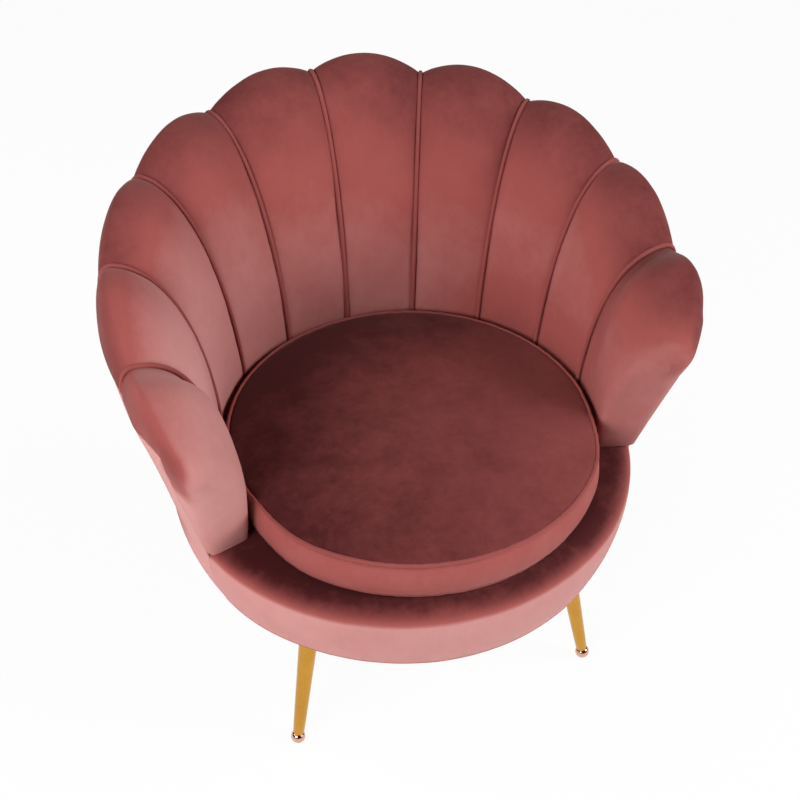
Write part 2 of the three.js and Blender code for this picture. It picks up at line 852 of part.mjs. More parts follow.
function addSeatBase() {
  chair.add(pieceMesh('seat_ring_lower', seatRing(frameBottom, true), plywood));
  chair.add(pieceMesh('seat_ring_upper', seatRing(upperRingBottom, false), plywood));
  [0, 90, 180, 270].forEach((degrees, index) => {
    chair.add(pieceMesh(`frame_block_${index + 1}`, frameBlock(degrees), plywood));
  });
  chair.add(pieceMesh('lip_foam', lipFoam(), foam));
  chair.add(pieceMesh('lip_cover', lipCover(), velvet));
  [-1, 1].forEach((side, index) => {
    chair.add(pieceMesh(`strap_long_${index + 1}`, longStrap(side), webbing));
    chair.add(pieceMesh(`strap_cross_${index + 1}`, crossStrap(side), webbing));
  });
  chair.add(pieceMesh('deck_pad', deckPad(), blackCloth));
  chair.add(pieceMesh('dust_cover', dustCover(), blackCloth));
}

function addBack() {
  const middle = petalsAside + 1;
  for (let seam = 1; seam <= petalsAside; seam += 1) {
    chair.add(pieceMesh(`back_petal_${middle + 1 - seam}`, backPetal(seam - 1, -1), velvet));
    chair.add(pieceMesh(`back_petal_${middle + seam}`, backPetal(seam - 1, 1), velvet));
  }
  chair.add(pieceMesh('back_petal_1', armPetal(-1), velvet));
  chair.add(pieceMesh(`back_petal_${2 * middle}`, armPetal(1), velvet));
  for (let seam = -petalsAside; seam <= petalsAside; seam += 1) {
    chair.add(pieceMesh(`back_welt_${middle + seam}`, petalWelt(seam), velvet));
  }
  chair.add(pieceMesh('back_panel', backPanel(), plywood));
  chair.add(pieceMesh('outer_cover', outerCover(), velvet));
  const lastRib = armRimEndAngle - THREE.MathUtils.radToDeg(ribThickness / wallRadius);
  for (let place = -ribsAside; place <= ribsAside; place += 1) {
    const rib = backRib(lastRib * place / ribsAside);
    chair.add(pieceMesh(`back_rib_${ribsAside + 1 + place}`, rib, plywood));
  }
}

function addCushion() {
  const lowerSeam = cushionBottom + cushionEdgeRise;
  chair.add(pieceMesh('cushion_cover', cushionCover(), velvet));
  chair.add(pieceMesh('cushion_foam', cushionFoam(), foam));
  chair.add(pieceMesh('cushion_welt_lower', cushionPiping(lowerSeam), velvet));
  chair.add(pieceMesh('cushion_welt_upper', cushionPiping(lowerSeam + cushionBand), velvet));
}

function addLegs() {
  legSigns.forEach((signs, index) => {
    const name = legNames[index];
    chair.add(pieceMesh(`leg_${name}`, legTube(signs), goldMetal));
    chair.add(pieceMesh(`leg_plate_${name}`, legPlate(signs), steel));
    chair.add(pieceMesh(`leg_stud_${name}`, legStud(signs), steel));
    chair.add(pieceMesh(`glide_${name}`, footGlide(signs), roseMetal));
  });
}

addSeatBase();
addBack();
addCushion();
addLegs();

// The origin is the middle of the footprint, on the floor
const reach = new THREE.Box3().setFromObject(chair, true);
chair.position.x = -(reach.min.x + reach.max.x) / 2;
chair.position.y = -(reach.min.y + reach.max.y) / 2;

export default chair;
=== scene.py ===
"""Dresses a scallop back chair: velvet petals, piping, a loose cushion, gold legs and the inner layers.

Metres, +Z up, the sitter faces -Y. Angles round the seat run from the middle of the back,
positive towards +X.
"""

import logging
import math
from collections.abc import Callable
from dataclasses import dataclass, field
from enum import Enum
from functools import partial

import bmesh
import bpy
from mathutils import Matrix, Vector, noise
from mathutils.bvhtree import BVHTree


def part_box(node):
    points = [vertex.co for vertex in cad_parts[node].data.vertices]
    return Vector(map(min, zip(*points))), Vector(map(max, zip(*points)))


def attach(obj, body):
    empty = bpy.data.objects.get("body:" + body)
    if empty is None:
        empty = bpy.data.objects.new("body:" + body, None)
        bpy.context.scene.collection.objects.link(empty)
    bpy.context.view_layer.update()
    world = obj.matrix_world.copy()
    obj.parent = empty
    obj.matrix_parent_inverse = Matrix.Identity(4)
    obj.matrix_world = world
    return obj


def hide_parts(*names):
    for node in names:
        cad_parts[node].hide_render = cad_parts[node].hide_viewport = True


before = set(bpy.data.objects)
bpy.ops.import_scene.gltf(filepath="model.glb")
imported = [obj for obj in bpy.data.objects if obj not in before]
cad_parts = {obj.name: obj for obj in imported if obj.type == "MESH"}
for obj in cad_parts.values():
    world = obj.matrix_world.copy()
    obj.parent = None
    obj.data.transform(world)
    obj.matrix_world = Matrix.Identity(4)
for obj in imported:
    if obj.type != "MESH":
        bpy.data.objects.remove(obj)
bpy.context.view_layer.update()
LOG = logging.getLogger("chair")
Colour = tuple[float, float, float, float]
Outline = list[tuple[float, float]]
Shape = bmesh.types.BMesh
Socket = bpy.types.NodeSocket
CREASE = 0.9
MERGED = 1e-6


def mix(first: float, second: float, share: float) -> float:
    """Returns the value at a share of the way from the first value to the second."""
    return first + (second - first) * share


def smooth(value: float, low: float, high: float) -> float:
    """Returns 0 below low, 1 above high and an even curve between."""
    share = min(max((value - low) / (high - low), 0.0), 1.0)
    return share * share * (3 - 2 * share)


def shares(count: int) -> list[float]:
    """Returns the shares from 0 to 1 in count equal steps."""
    return [index / count for index in range(count + 1)]


def linear(red: int, green: int, blue: int) -> Colour:
    """Turns a colour of 0 to 255 a channel into the linear one that a shader takes.

    Args:
        red: Red, 0 to 255.
        green: Green, 0 to 255.
        blue: Blue, 0 to 255.

    Returns:
        The linear colour with an alpha of 1.
    """
    def one(channel: int) -> float:
        """Returns one channel on the linear scale."""
        level = channel / 255
        return level / 12.92 if level <= 0.04045 else ((level + 0.055) / 1.055) ** 2.4
    return one(red), one(green), one(blue), 1.0


class Wire:
    """A shader socket that adds its Math nodes when it is used in a sum."""

    def __init__(self, bench: "Bench", socket: Socket) -> None:
        """Keeps the bench that the socket belongs to."""
        self.bench = bench
        self.socket = socket

    def _sum(self, operation: str, first: "Wire | float", second: "Wire | float") -> "Wire":
        """Returns the wire that leaves a Math node of two values."""
        made = self.bench.node("ShaderNodeMath", {"operation": operation}, {0: first, 1: second})
        return Wire(self.bench, made.outputs[0])

    def __add__(self, other: "Wire | float") -> "Wire":
        """Returns self + other."""
        return self._sum("ADD", self, other)

    def __radd__(self, other: float) -> "Wire":
        """Returns other + self."""
        return self._sum("ADD", other, self)

    def __sub__(self, other: "Wire | float") -> "Wire":
        """Returns self - other."""
        return self._sum("SUBTRACT", self, other)

    def __rsub__(self, other: float) -> "Wire":
        """Returns other - self."""
        return self._sum("SUBTRACT", other, self)

    def __mul__(self, other: "Wire | float") -> "Wire":
        """Returns self * other."""
        return self._sum("MULTIPLY", self, other)

    def __rmul__(self, other: float) -> "Wire":
        """Returns other * self."""
        return self._sum("MULTIPLY", other, self)

    def __pow__(self, other: float) -> "Wire":
        """Returns self to a power."""
        return self._sum("POWER", self, other)

    def held(self) -> "Wire":
        """Returns the value held between 0 and 1."""
        return self._sum("MAXIMUM", 0.0, self._sum("MINIMUM", 1.0, self))

    def wave(self) -> "Wire":
        """Returns the sine of the value."""
        return self._sum("SINE", self, 0.0)


class Bench:
    """Builds the node tree of one material on its Principled shader."""

    def __init__(self, name: str) -> None:
        """Starts a material.

        Args:
            name: The material's name.
        """
        self.material = bpy.data.materials.new(name)
        self.material.use_nodes = True
        self.tree = self.material.node_tree
        self.shader = self.tree.nodes["Principled BSDF"]
        self.place = self.node("ShaderNodeTexCoord").outputs["Object"]

    def node(self, kind: str, settings: dict | None = None,
             sockets: dict | None = None) -> bpy.types.Node:
        """Adds a node.

        Args:
            kind: The node's type.
            settings: Its own settings, set first; "stops" are a ramp's places and colours.
            sockets: Values or links by the names or numbers of its inputs.

        Returns:
            The new node.
        """
        made = self.tree.nodes.new(kind)
        for key, value in (settings or {}).items():
            if key == "stops":
                ramp = made.color_ramp.elements
                ramp[0].position, ramp[0].color = value[0]
                ramp[1].position, ramp[1].color = value[-1]
                for place, colour in value[1:-1]:
                    ramp.new(place).color = colour
            else:
                setattr(made, key, value)
        for key, value in (sockets or {}).items():
            self.plug(made.inputs[key], value)
        return made

    def plug(self, socket: Socket, value: "Wire | Socket | float | tuple") -> None:
        """Links a socket or sets its value.

        Args:
            socket: The input.
            value: A wire or another socket to link it to, or its value.
        """
        if isinstance(value, Wire):
            value = value.socket
        if isinstance(value, Socket):
            self.tree.links.new(value, socket)
        else:
            socket.default_value = value

    def set(self, **values: "Wire | float | tuple") -> None:
        """Sets or links the shader's sockets, with _ for a space in a name."""
        for key, value in values.items():
            self.plug(self.shader.inputs[key.replace("_", " ")], value)

    def scaled(self, scale: tuple[float, float, float]) -> Socket:
        """Returns the object's coordinates stretched by a scale."""
        return self.node("ShaderNodeMapping", None, {"Vector": self.place, "Scale": scale}).outputs[0]

    def grain(self, scale: float, detail: float, rough: float = 0.5, where: Socket | None = None) -> Wire:
        """Adds noise.

        Args:
            scale: Its cycles to a metre.
            detail: How many finer layers it has.
            rough: How strong the finer layers are.
            where: The coordinates that it lies on, or else the object's own.

        Returns:
            The noise, 0 to 1.
        """
        made = self.node("ShaderNodeTexNoise", None, {
            "Vector": where or self.place, "Scale": scale, "Detail": detail, "Roughness": rough})
        return Wire(self, made.outputs["Fac"])

    def cells(self, scale: float) -> Wire:
        """Returns the distance to the nearest cell's middle."""
        made = self.node("ShaderNodeTexVoronoi", None, {"Vector": self.place, "Scale": scale})
        return Wire(self, made.outputs["Distance"])

    def axis(self, letter: str) -> Wire:
        """Returns one of the object's coordinates, X, Y or Z."""
        made = self.node("ShaderNodeSeparateXYZ", None, {0: self.place})
        return Wire(self, made.outputs[letter])

    def painted(self, name: str) -> Wire:
        """Returns a value that the mesh carries at its points."""
        return Wire(self, self.node("ShaderNodeAttribute", {"attribute_name": name}).outputs["Fac"])

    def blend(self, share: "Wire | float", first: Colour, second: Colour) -> Socket:
        """Returns the colour at a share of the way from first to second."""
        made = self.node("ShaderNodeMix", {"data_type": "RGBA"}, {0: share, 6: first, 7: second})
        return made.outputs[2]

    def bump(self, height: Wire, depth: float, strength: float = 1.0) -> None:
        """Raises the surface.

        Args:
            height: The height, 0 to 1.
            depth: The metres that a height of 1 stands for.
            strength: The share of the relief that shows.
        """
        made = self.node("ShaderNodeBump", None, {
            "Height": height, "Distance": depth, "Strength": strength})
        self.plug(self.shader.inputs["Normal"], made.outputs[0])


@dataclass(frozen=True)
class Recipe:
    """How one finish is made."""

    name: str

    def make(self) -> bpy.types.Material:
        """Makes the finish.

        Returns:
            Its material.
        """
        bench = Bench(self.name)
        self.paint(bench)
        return bench.material

    def paint(self, bench: Bench) -> None:
        """Builds the finish on its material's bench."""
        raise NotImplementedError


@dataclass(frozen=True)
class Velvet(Recipe):
    """Short cut-pile velvet, whose colour follows how its pile is brushed and the painted shade and painted
    light on its points.
    """

    name: str = "velvet"
    # upright is a colour of painted light and sheen, laid a colour of painted shade, raised the velvet's own
    # mid tone
    upright: Colour = linear(204, 146, 142)
    raised: Colour = linear(156, 80, 76)
    laid: Colour = linear(74, 26, 28)
    start: float = 0.0
    mottle: float = 0.27
    sheen: float = 0.26
    sheen_tint: Colour = (1.0, 0.66, 0.62, 1.0)
    spread: float = 0.4
    raised_shares: tuple[float, float] = (0.42, 0.46)

    def paint(self, bench: Bench) -> None:
        """Builds the velvet.

        Args:
            bench: The bench of its material.
        """
        drift = bench.grain(7, detail=2)
        patch = bench.grain(21, detail=6, rough=0.66)
        brushed = bench.grain(90, detail=4, rough=0.7, where=bench.scaled((1, 1, 0.4)))
        pile = bench.grain(1300, detail=2, rough=0.7)
        painted = bench.painted("nap")
        uneven = (painted.held() * 2 + 1) * self.mottle
        # The painted value on the points carries the pile's lay with painted shade (towards laid) and
        # painted light (towards upright).
        lay = (painted + self.start + (drift - 0.5) * uneven * 0.6 + (patch - 0.5) * uneven
               + (brushed - 0.5) * uneven * 0.5 + (pile - 0.5) * 0.22)
        from_share, to_share = self.raised_shares
        stops = ((0.0, self.upright), (from_share, self.raised), (to_share, self.raised), (1.0, self.laid))
        ramp = bench.node("ShaderNodeValToRGB", {"stops": stops}, {0: (lay * 0.5 + 0.4).held()})
        bench.set(Base_Color=ramp.outputs[0], Roughness=0.78 + pile * 0.12, Sheen_Weight=self.sheen,
                  Sheen_Roughness=self.spread, Sheen_Tint=self.sheen_tint, Specular_IOR_Level=0.12)
        bench.bump(pile * 0.5 + patch * 0.5, depth=0.0006, strength=0.5)


@dataclass(frozen=True)
class Plywood(Recipe):
    """Raw birch plywood: pale grain on its faces and thin plies on its edges."""

    name: str = "plywood"
    pale: Colour = linear(216, 182, 134)
    dark: Colour = linear(164, 118, 72)
    ply: float = 0.003

    def paint(self, bench: Bench) -> None:
        """Builds the plywood.

        Args:
            bench: The bench of its material.
        """
        grain = bench.grain(60, detail=5, rough=0.6, where=bench.scaled((1, 0.08, 0.7)))
        ply = (bench.axis("Z") * (2 * math.pi / self.ply)).wave() * 0.5 + 0.5
        fleck = bench.grain(700, detail=2, rough=0.6, where=bench.scaled((1, 0.2, 1)))
        share = (grain * 0.9 + ply * 0.16 + fleck * 0.2 - 0.18).held()
        bench.set(Base_Color=bench.blend(share, self.pale, self.dark), Roughness=0.62 + fleck * 0.2)
        bench.bump(grain + fleck * 0.4, depth=0.0004, strength=0.6)


@dataclass(frozen=True)
class Webbing(Recipe):
    """Woven elastic seat webbing with a fine check of raised threads."""

    name: str = "webbing"
    dark: Colour = linear(48, 45, 42)
    pale: Colour = linear(96, 88, 78)
    pitch: float = 0.0022

    def paint(self, bench: Bench) -> None:
        """Builds the webbing.

        Args:
            bench: The bench of its material.
        """
        across, along = ((bench.axis(letter) * (2 * math.pi / self.pitch)).wave() for letter in "XY")
        weave = across * along * 0.5 + 0.5
        share = (weave * 0.6 + bench.grain(240, detail=3) * 0.5 - 0.1).held()
        bench.set(Base_Color=bench.blend(share, self.dark, self.pale), Roughness=0.86)
        bench.bump(weave, depth=0.0006, strength=0.8)


@dataclass(frozen=True)
class BlackCloth(Recipe):
    """Thin black spun cloth with a pressed pattern of small dots."""

    name: str = "black_cloth"
    dark: Colour = linear(20, 19, 20)
    pale: Colour = linear(50, 48, 49)

    def paint(self, bench: Bench) -> None:
        """Builds the cloth.

        Args:
            bench: The bench of its material.
        """
        dots = 1 - (bench.cells(520) * 1.6).held()
        fibre = bench.grain(900, detail=4, rough=0.7)
        bench.set(Base_Color=bench.blend((fibre * 0.8 - dots * 0.3).held(), self.dark, self.pale),
                  Roughness=0.7 + fibre * 0.25)
        bench.bump(fibre - dots * 0.6, depth=0.0004, strength=0.6)


@dataclass(frozen=True)
class Metal(Recipe):
    """A plated or polished metal with fine lines from its finishing."""

    bright: Colour
    deep: Colour
    rough: float
    lines: float
    coat: float = 0.0

    def paint(self, bench: Bench) -> None:
        """Builds the metal.

        Args:
            bench: The bench of its material.
        """
        drawn = bench.grain(420, detail=4, rough=0.65, where=bench.scaled((1, 1, 0.02)))
        cloud = bench.grain(26, detail=3)
        share = (drawn * self.lines + cloud * 0.5 - 0.2).held()
        bench.set(Base_Color=bench.blend(share, self.bright, self.deep), Metallic=1.0,
                  Roughness=(self.rough + (drawn - 0.5) * self.lines * 0.3 + (cloud - 0.5) * 0.06).held(),
                  Coat_Weight=self.coat, Coat_Roughness=0.08)
        bench.bump(drawn, depth=0.00004, strength=self.lines)


class Finish(Enum):
    """The finishes of the chair, by the slot that each belongs to."""

    VELVET = "velvet"
    SEAT_VELVET = "seat_velvet"
    PIPING = "piping"
    PLYWOOD = "plywood"
    WEBBING = "webbing"
    BLACK_CLOTH = "black_cloth"
    GOLD = "gold_metal"
    ROSE = "rose_metal"
    STEEL = "steel"


RECIPES = {
    Finish.VELVET: Velvet(),
    Finish.SEAT_VELVET: Velvet("seat_velvet", mottle=0.2, sheen=0.22),
    Finish.PIPING: Velvet("piping_velvet", start=0.3, mottle=0.2, sheen=0.2),
    Finish.PLYWOOD: Plywood(),
    Finish.WEBBING: Webbing(),
    Finish.BLACK_CLOTH: BlackCloth(),
    Finish.GOLD: Metal("gold_metal", linear(216, 162, 70), linear(170, 112, 38), 0.25, 0.5),
    Finish.ROSE: Metal("rose_metal", linear(222, 172, 150), linear(186, 128, 108), 0.07, 0.06, 0.3),
    Finish.STEEL: Metal("steel", linear(196, 197, 200), linear(150, 152, 156), 0.36, 0.4),
}


class Wardrobe:
    """Makes each finish once and hands it out."""

    def __init__(self) -> None:
        """Makes every finish of the recipes."""
        self.materials = {finish: recipe.make() for finish, recipe in RECIPES.items()}

    def dress_node(self, name: str, finish: Finish) -> None:
        """Gives a solid of the frame a finish in the slots that it has.

        Args:
            name: The solid's node.
            finish: The finish.
        """
        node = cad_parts[name]
        if not node.material_slots:
            node.data.materials.append(None)
        for slot in node.material_slots:
            slot.material = self.materials[finish]


@dataclass(frozen=True)
class Stitch:
    """A point of a section and how far its pile is laid, with painted shade and painted light."""

    spot: Vector
    nap: float = 0.0


def laid_grid(sections: list[list[Stitch]], closed: bool = True) -> Shape:
    """Lays a grid on sections that have the same number of points.

    Args:
        sections: The sections in order, each a row of points.
        closed: Whether each section meets itself and the two ends are filled.

    Returns:
        The bmesh, with the pile's lay and its painted shade and light on its points as nap.
    """
    bm = bmesh.new()
    nap = bm.verts.layers.float.new("nap")
    columns = len(sections) - 1
    count = len(sections[0])
    rows = count if closed else count - 1
    bmesh.ops.create_grid(bm, x_segments=columns, y_segments=rows, size=0.5)
    for vertex in bm.verts:
        section = sections[round((vertex.co.x + 0.5) * columns)]
        point = section[round((vertex.co.y + 0.5) * rows) % count]
        vertex.co = point.spot
        vertex[nap] = point.nap
    if closed:
        bmesh.ops.remove_doubles(bm, verts=bm.verts, dist=MERGED)
        open_edges = [edge for edge in bm.edges if edge.is_boundary]
        for edge in open_edges:
            edge.smooth = False
        made = bmesh.ops.holes_fill(bm, edges=open_edges, sides=0)
        bmesh.ops.triangulate(bm, faces=made["faces"])
        bmesh.ops.recalc_face_normals(bm, faces=bm.faces)
        for edge in bm.edges:
            if edge.calc_face_angle(0.0) > CREASE:
                edge.smooth = False
    return bm


@dataclass(frozen=True)
class SeatPlan:
    """The two upright axes that the chair is laid out on."""

    seat_y: float
    base_y: float

    @staticmethod
    def of_frame() -> "SeatPlan":
        """Reads the axes from the deck's and the dust cover's places.

        Returns:
            The plan.
        """
        def middle(node: str) -> float:
            """Returns the middle of a node's box along Y."""
            low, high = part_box(node)
            return (low[1] + high[1]) / 2
        return SeatPlan(middle("deck_pad"), middle("dust_cover"))

    def spot(self, degrees: float, radius: float, height: float) -> Vector:
        """Returns the point at an angle, a distance from the cushion's axis and a height."""
        turn = math.radians(degrees)
        return Vector((radius * math.sin(turn), self.seat_y + radius * math.cos(turn), height))

    def from_base(self, degrees: float, circle: float) -> float:
        """Turns a distance from the base's axis into one from the cushion's axis.

        Args:
            degrees: The angle round the cushion's axis.
            circle: The distance from the base's axis.

        Returns:
            The distance from the cushion's axis at that angle.
        """
        setback = self.base_y - self.seat_y
        turn = math.radians(degrees)
        return setback * math.cos(turn) + math.sqrt(circle**2 - (setback * math.sin(turn)) ** 2)


@dataclass(frozen=True)
class ShellForm:
    """The sizes and faces of the scalloped back, in the same terms as the frame's solids."""

    plan: SeatPlan
    frame_top: float = 0.346
    lip_top: float = 0.355
    underside: float = 0.238
    soft_gap: float = 0.0004
    ring_radius: float = 0.288
    base_radius: float = 0.330
    base_taper: float = 0.0185
    shoulder_width: float = 0.030
    shoulder_drop: float = 0.022
    corner: float = 0.006
    wall_radius: float = 0.265
    rim_rise: float = 0.4065
    rim_flare: float = 0.144
    rise_shares: tuple[float, ...] = (1, 0.95, 0.905, 0.82, 0.7, 0.65)
    flare_shares: tuple[float, ...] = (0.958, 1, 0.93, 0.843, 0.732, 0.73)
    handle_shares: tuple[float, ...] = (0.57, 0.57, 0.6, 0.68, 0.8, 0.8)
    foot_angle: float = 21.4
    rim_angle: float = 22.4
    foot_handle: float = 0.5
    puff: float = 0.012
    arm_puff_power: float = 1.5
    pillow: float = 0.0032
    arm_pillow_share: float = 0.5
    pillow_level: float = 0.75
    pillow_fade: float = 0.18
    valley_share: float = 1 / 4.5
    valley_power: float = 2.4
    scallop_rise: float = 0.0288
    scallop_reach: float = 0.005
    scallop_power: float = 0.75
    arm_scallop_power: float = 1.45
    roll_reach: float = 0.022
    roll_drop: float = 0.032
    roll_tuck: float = 0.004
    roll_flap: float = 0.020
    flap_shares: tuple[float, ...] = (0.1, 0.3, 0.6, 0.85, 1.0)
    flap_insets: tuple[float, ...] = (0.0036, 0.0054, 0.0078, 0.0097, 0.0108)
    rim_padding: float = 0.038
    back_padding: float = 0.015
    panel_thickness: float = 0.012
    panel_power: float = 1.3
    panel_gap: float = 0.0009
    cover_inset: float = 0.003
    arm_foot_end: float = 100.5
    arm_rim_end: float = 92.5
    nose_start: float = 101.0
    nose_foot: float = 105.1
    nose_rim: float = 116.5
    nose_powers: tuple[float, float] = (6, 2.5)
    nose_depth: float = 0.10
    nose_crown: float = 0.4
    nose_thinnest_share: float = 0.01
    cover_thickness: float = 0.0026
    cover_below: float = 0.0025
    cover_proud: float = 0.0004
    cover_curl: float = 0.022
    cover_gap: float = 0.0004
    arm_inset: float = 0.0035
    arm_inset_seams: tuple[float, float] = (2.6, 4.3)
    arm_ease: float = 0.105
    ease_power: float = 2.2
    cover_foot_end: float = 101.9
    cover_rim_end: float = 107.5
    arm_seam: int = 4
    face_steps: int = 30
    roll_steps: int = 12
    back_steps: int = 22

    @staticmethod
    def at_seam(table: tuple[float, ...], seam: float) -> float:
        """Returns a table's value at a count from its first entry, as of seams from the back's middle."""
        whole = min(int(seam), len(table) - 2)
        return mix(table[whole], table[whole + 1], seam - whole)

    def at_angle(self, table: tuple[float, ...], degrees: float) -> float:
        """Returns a table's value at an angle, its ends at the two arms' fronts."""
        share = min(max(degrees / self.rim_angle / 10 + 0.5, 0.0), 0.9999)
        return self.at_seam(table, share * (len(table) - 1))

    @property
    def side_top(self) -> float:
        """Returns the height where the seat base's side starts, under its round shoulder."""
        return self.lip_top - self.shoulder_drop

    def seam_at(self, degrees: float) -> float:
        """Returns the count of seams from the middle of the back to an angle at the rim."""
        return abs(degrees) / self.rim_angle

    def rim_height(self, seam: float) -> float:
        """Returns the rim's height at a seam's count."""
        return self.frame_top + self.rim_rise * self.at_seam(self.rise_shares, seam)

    def rim_radius(self, seam: float) -> float:
        """Returns the rim's distance from the cushion's axis at a seam's count."""
        return self.wall_radius + self.rim_flare * self.at_seam(self.flare_shares, seam)

    def panel_inside(self, degrees: float, height: float) -> float:
        """Returns the bent panel's inner face.

        Args:
            degrees: The angle.
            height: The height.

        Returns:
            Its distance from the cushion's axis.
        """
        seam = self.seam_at(degrees)
        foot = self.plan.from_base(degrees, self.ring_radius + self.panel_gap)
        top = self.rim_height(seam) - self.rim_padding - self.soft_gap
        share = max(0.0, (height - self.frame_top) / (top - self.frame_top))
        return mix(foot, self.rim_radius(seam) - self.back_padding, share**self.panel_power)

    def base_side(self, height: float) -> float:
        """Returns the seat base's tapering side, as a distance from the base's axis."""
        drop = (self.side_top - height) / (self.side_top - self.underside - self.corner)
        return self.base_radius - self.base_taper * max(0.0, drop) ** 2

    def reach(self, seam: float) -> float:
        """Returns how far the roll reaches out over the rim, less along the arms."""
        return self.roll_reach - self.arm_inset * smooth(abs(seam), *self.arm_inset_seams)

    def cover_top(self, seam: float) -> float:
        """Returns the height of the outer cover's upper edge, close under the roll."""
        return self.rim_height(seam) - self.roll_drop - self.cover_below

    def straight_side(self, degrees: float, height: float) -> float:
        """Returns the straight line up the outside, from the seat base's side to behind the roll.

        Args:
            degrees: The angle.
            height: The height.

        Returns:
            Its distance from the cushion's axis.
        """
        seam = self.seam_at(degrees)
        start = self.side_top
        side = self.plan.from_base(degrees, self.base_side(height))
        behind_roll = self.rim_radius(seam) + self.roll_reach - self.roll_tuck - self.cover_inset
        slope = (behind_roll - side) / (self.cover_top(seam) + self.cover_below - self.roll_flap - start)
        return side + slope * max(0.0, height - start)

    def cover_outside(self, degrees: float, height: float) -> float:
        """Returns the outer cover's outside, which swells out to meet the roll's widest line.

        Args:
            degrees: The angle.
            height: The height.

        Returns:
            Its distance from the cushion's axis.
        """
        seam = self.seam_at(degrees)
        start = self.side_top
        widest = self.rim_radius(seam) + self.roll_reach
        rise = max(0.0, height - start)
        reach = self.cover_top(seam) - start
        straight = self.straight_side(degrees, height)
        short = widest + self.cover_proud - self.straight_side(degrees, start + reach)
        turned = min(max(1 + (rise - reach) / self.cover_curl, 0.0), 1.0)
        inset = (self.roll_reach - self.reach(seam)) * (1 - math.sqrt(1 - turned**2))
        return straight + short * min(rise / reach, 1.0) ** 4 - inset

    def seam_angle(self, seam: float, lean: float) -> float:
        """Returns a seam's angle, which leans outwards from the seat to the rim."""
        return seam * mix(self.foot_angle, self.rim_angle, lean)

    def arm_end(self, lean: float) -> float:
        """Returns where the panel and the outer cover stop in the arm."""
        return mix(self.arm_foot_end, self.arm_rim_end, lean)

    def inner_face(self, seam: float, scallop: float, foot: float, share: float) -> Vector:
        """Returns a point of a petal's inner face, in radius and height.

        Args:
            seam: The count of seams from the middle of the back.
            scallop: How far the petal swells there, 0 at its seams.
            foot: The height of its foot.
            share: The share of the way from the foot to the rim.

        Returns:
            The point on the curve that flares from the seat and rolls level at the rim.
        """
        top = self.rim_height(seam) + self.scallop_rise * scallop
        flare = self.rim_radius(seam) + self.scallop_reach * scallop - self.wall_radius
        handle = self.at_seam(self.handle_shares, seam)
        marks = (
            Vector((self.wall_radius, foot)),
            Vector((self.wall_radius, foot + self.foot_handle * (top - foot))),
            Vector((self.wall_radius + flare * (1 - handle), top)),
            Vector((self.wall_radius + flare, top)),
        )
        rest = 1 - share
        weights = (rest**3, 3 * rest**2 * share, 3 * rest * share**2, share**3)
        return sum((mark * weight for mark, weight in zip(marks, weights)), Vector((0, 0)))

    def across(self, degrees: float, lean: float, first: int) -> float:
        """Returns the share of a petal's width at an angle and a lean, held between 0 and 1."""
        width = mix(self.foot_angle, self.rim_angle, lean)
        return min(max(degrees / width - first, 0.0), 1.0)

    def scallop(self, across: float, first: int) -> float:
        """Returns how far the rim swells up at a share of a petal's width."""
        power = self.arm_scallop_power if first == self.arm_seam else self.scallop_power
        return math.sin(math.pi * across) ** power

    def shoulder(self, across: float, in_arm: bool) -> float:
        """Returns how full the padding is beside the seams: 0 in them and 1 away from them."""
        edge = 2 * across if in_arm else 1 - abs(2 * across - 1)
        return 1 - (1 - min(edge / self.valley_share, 1.0)) ** self.valley_power

    def puffed(self, across: float, share: float, in_arm: bool) -> float:
        """Returns how far the padding swells inwards, most at two thirds of the height."""
        fuller = math.sin(math.pi * across) ** (self.arm_puff_power if in_arm else 1.0)
        return self.puff * fuller * share**2 * (1 - share) * 27 / 4

    def pillowed(self, full: float, share: float, in_arm: bool) -> float:
        """Returns how far the padding rises between its seams and sinks in them, below the rim."""
        pillow = self.pillow * (self.arm_pillow_share if in_arm else 1.0)
        return pillow * (full - self.pillow_level) * smooth(1 - share, 0.0, self.pillow_fade)

    def cover_bed(self, degrees: float, lean: float) -> float:
        """Returns how far the arm is let in where the outer cover lies on it."""
        covered = 1 - smooth(degrees - self.cover_end(lean), -0.2, 0.9)
        return (self.cover_thickness + self.cover_gap) * covered

    def nose_end(self, lean: float) -> float:
        """Returns the angle of the arm's front at a lean."""
        return mix(self.nose_foot, self.nose_rim, lean)

    def cover_end(self, lean: float) -> float:
        """Returns the angle of the outer cover's front seam at a lean."""
        return mix(self.cover_foot_end, self.cover_rim_end, lean)


@dataclass
class SubAssembly:
    """A part of the chair, which builds its own pieces."""

    form: ShellForm
    wardrobe: Wardrobe

    def piece(self, name: str, bm: Shape, finish: Finish, *stands_for: str,
              body: str = "frame") -> bpy.types.Object:
        """Makes a bmesh a finished piece that rides on a body.

        Args:
            name: The piece's name.
            bm: Its shape, which is freed.
            finish: Its finish.
            stands_for: The solids that it replaces.
            body: The body that it moves with.

        Returns:
            The new object.
        """
        for face in bm.faces:
            face.smooth = True
        mesh = bpy.data.meshes.new(name)
        bm.to_mesh(mesh)
        bm.free()
        mesh.materials.append(self.wardrobe.materials[finish])
        piece = bpy.data.objects.new(name, mesh)
        bpy.context.scene.collection.objects.link(piece)
        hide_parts(*stands_for)
        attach(piece, body)
        LOG.info("%s: %d faces on %s", name, len(mesh.polygons), body)
        return piece


AngleAt = Callable[[float], float]


@dataclass(frozen=True)
class Column:
    """An upright section of a petal: its place between the seams, its foot, side and angle at a lean."""

    seam: float
    first: int
    foot: float
    side: int
    angle_at: AngleAt

    def of_side(self, pair: tuple[float, float]) -> float:
        """Returns the left or the right one of a pair of values."""
        return pair[0 if self.side < 0 else 1]


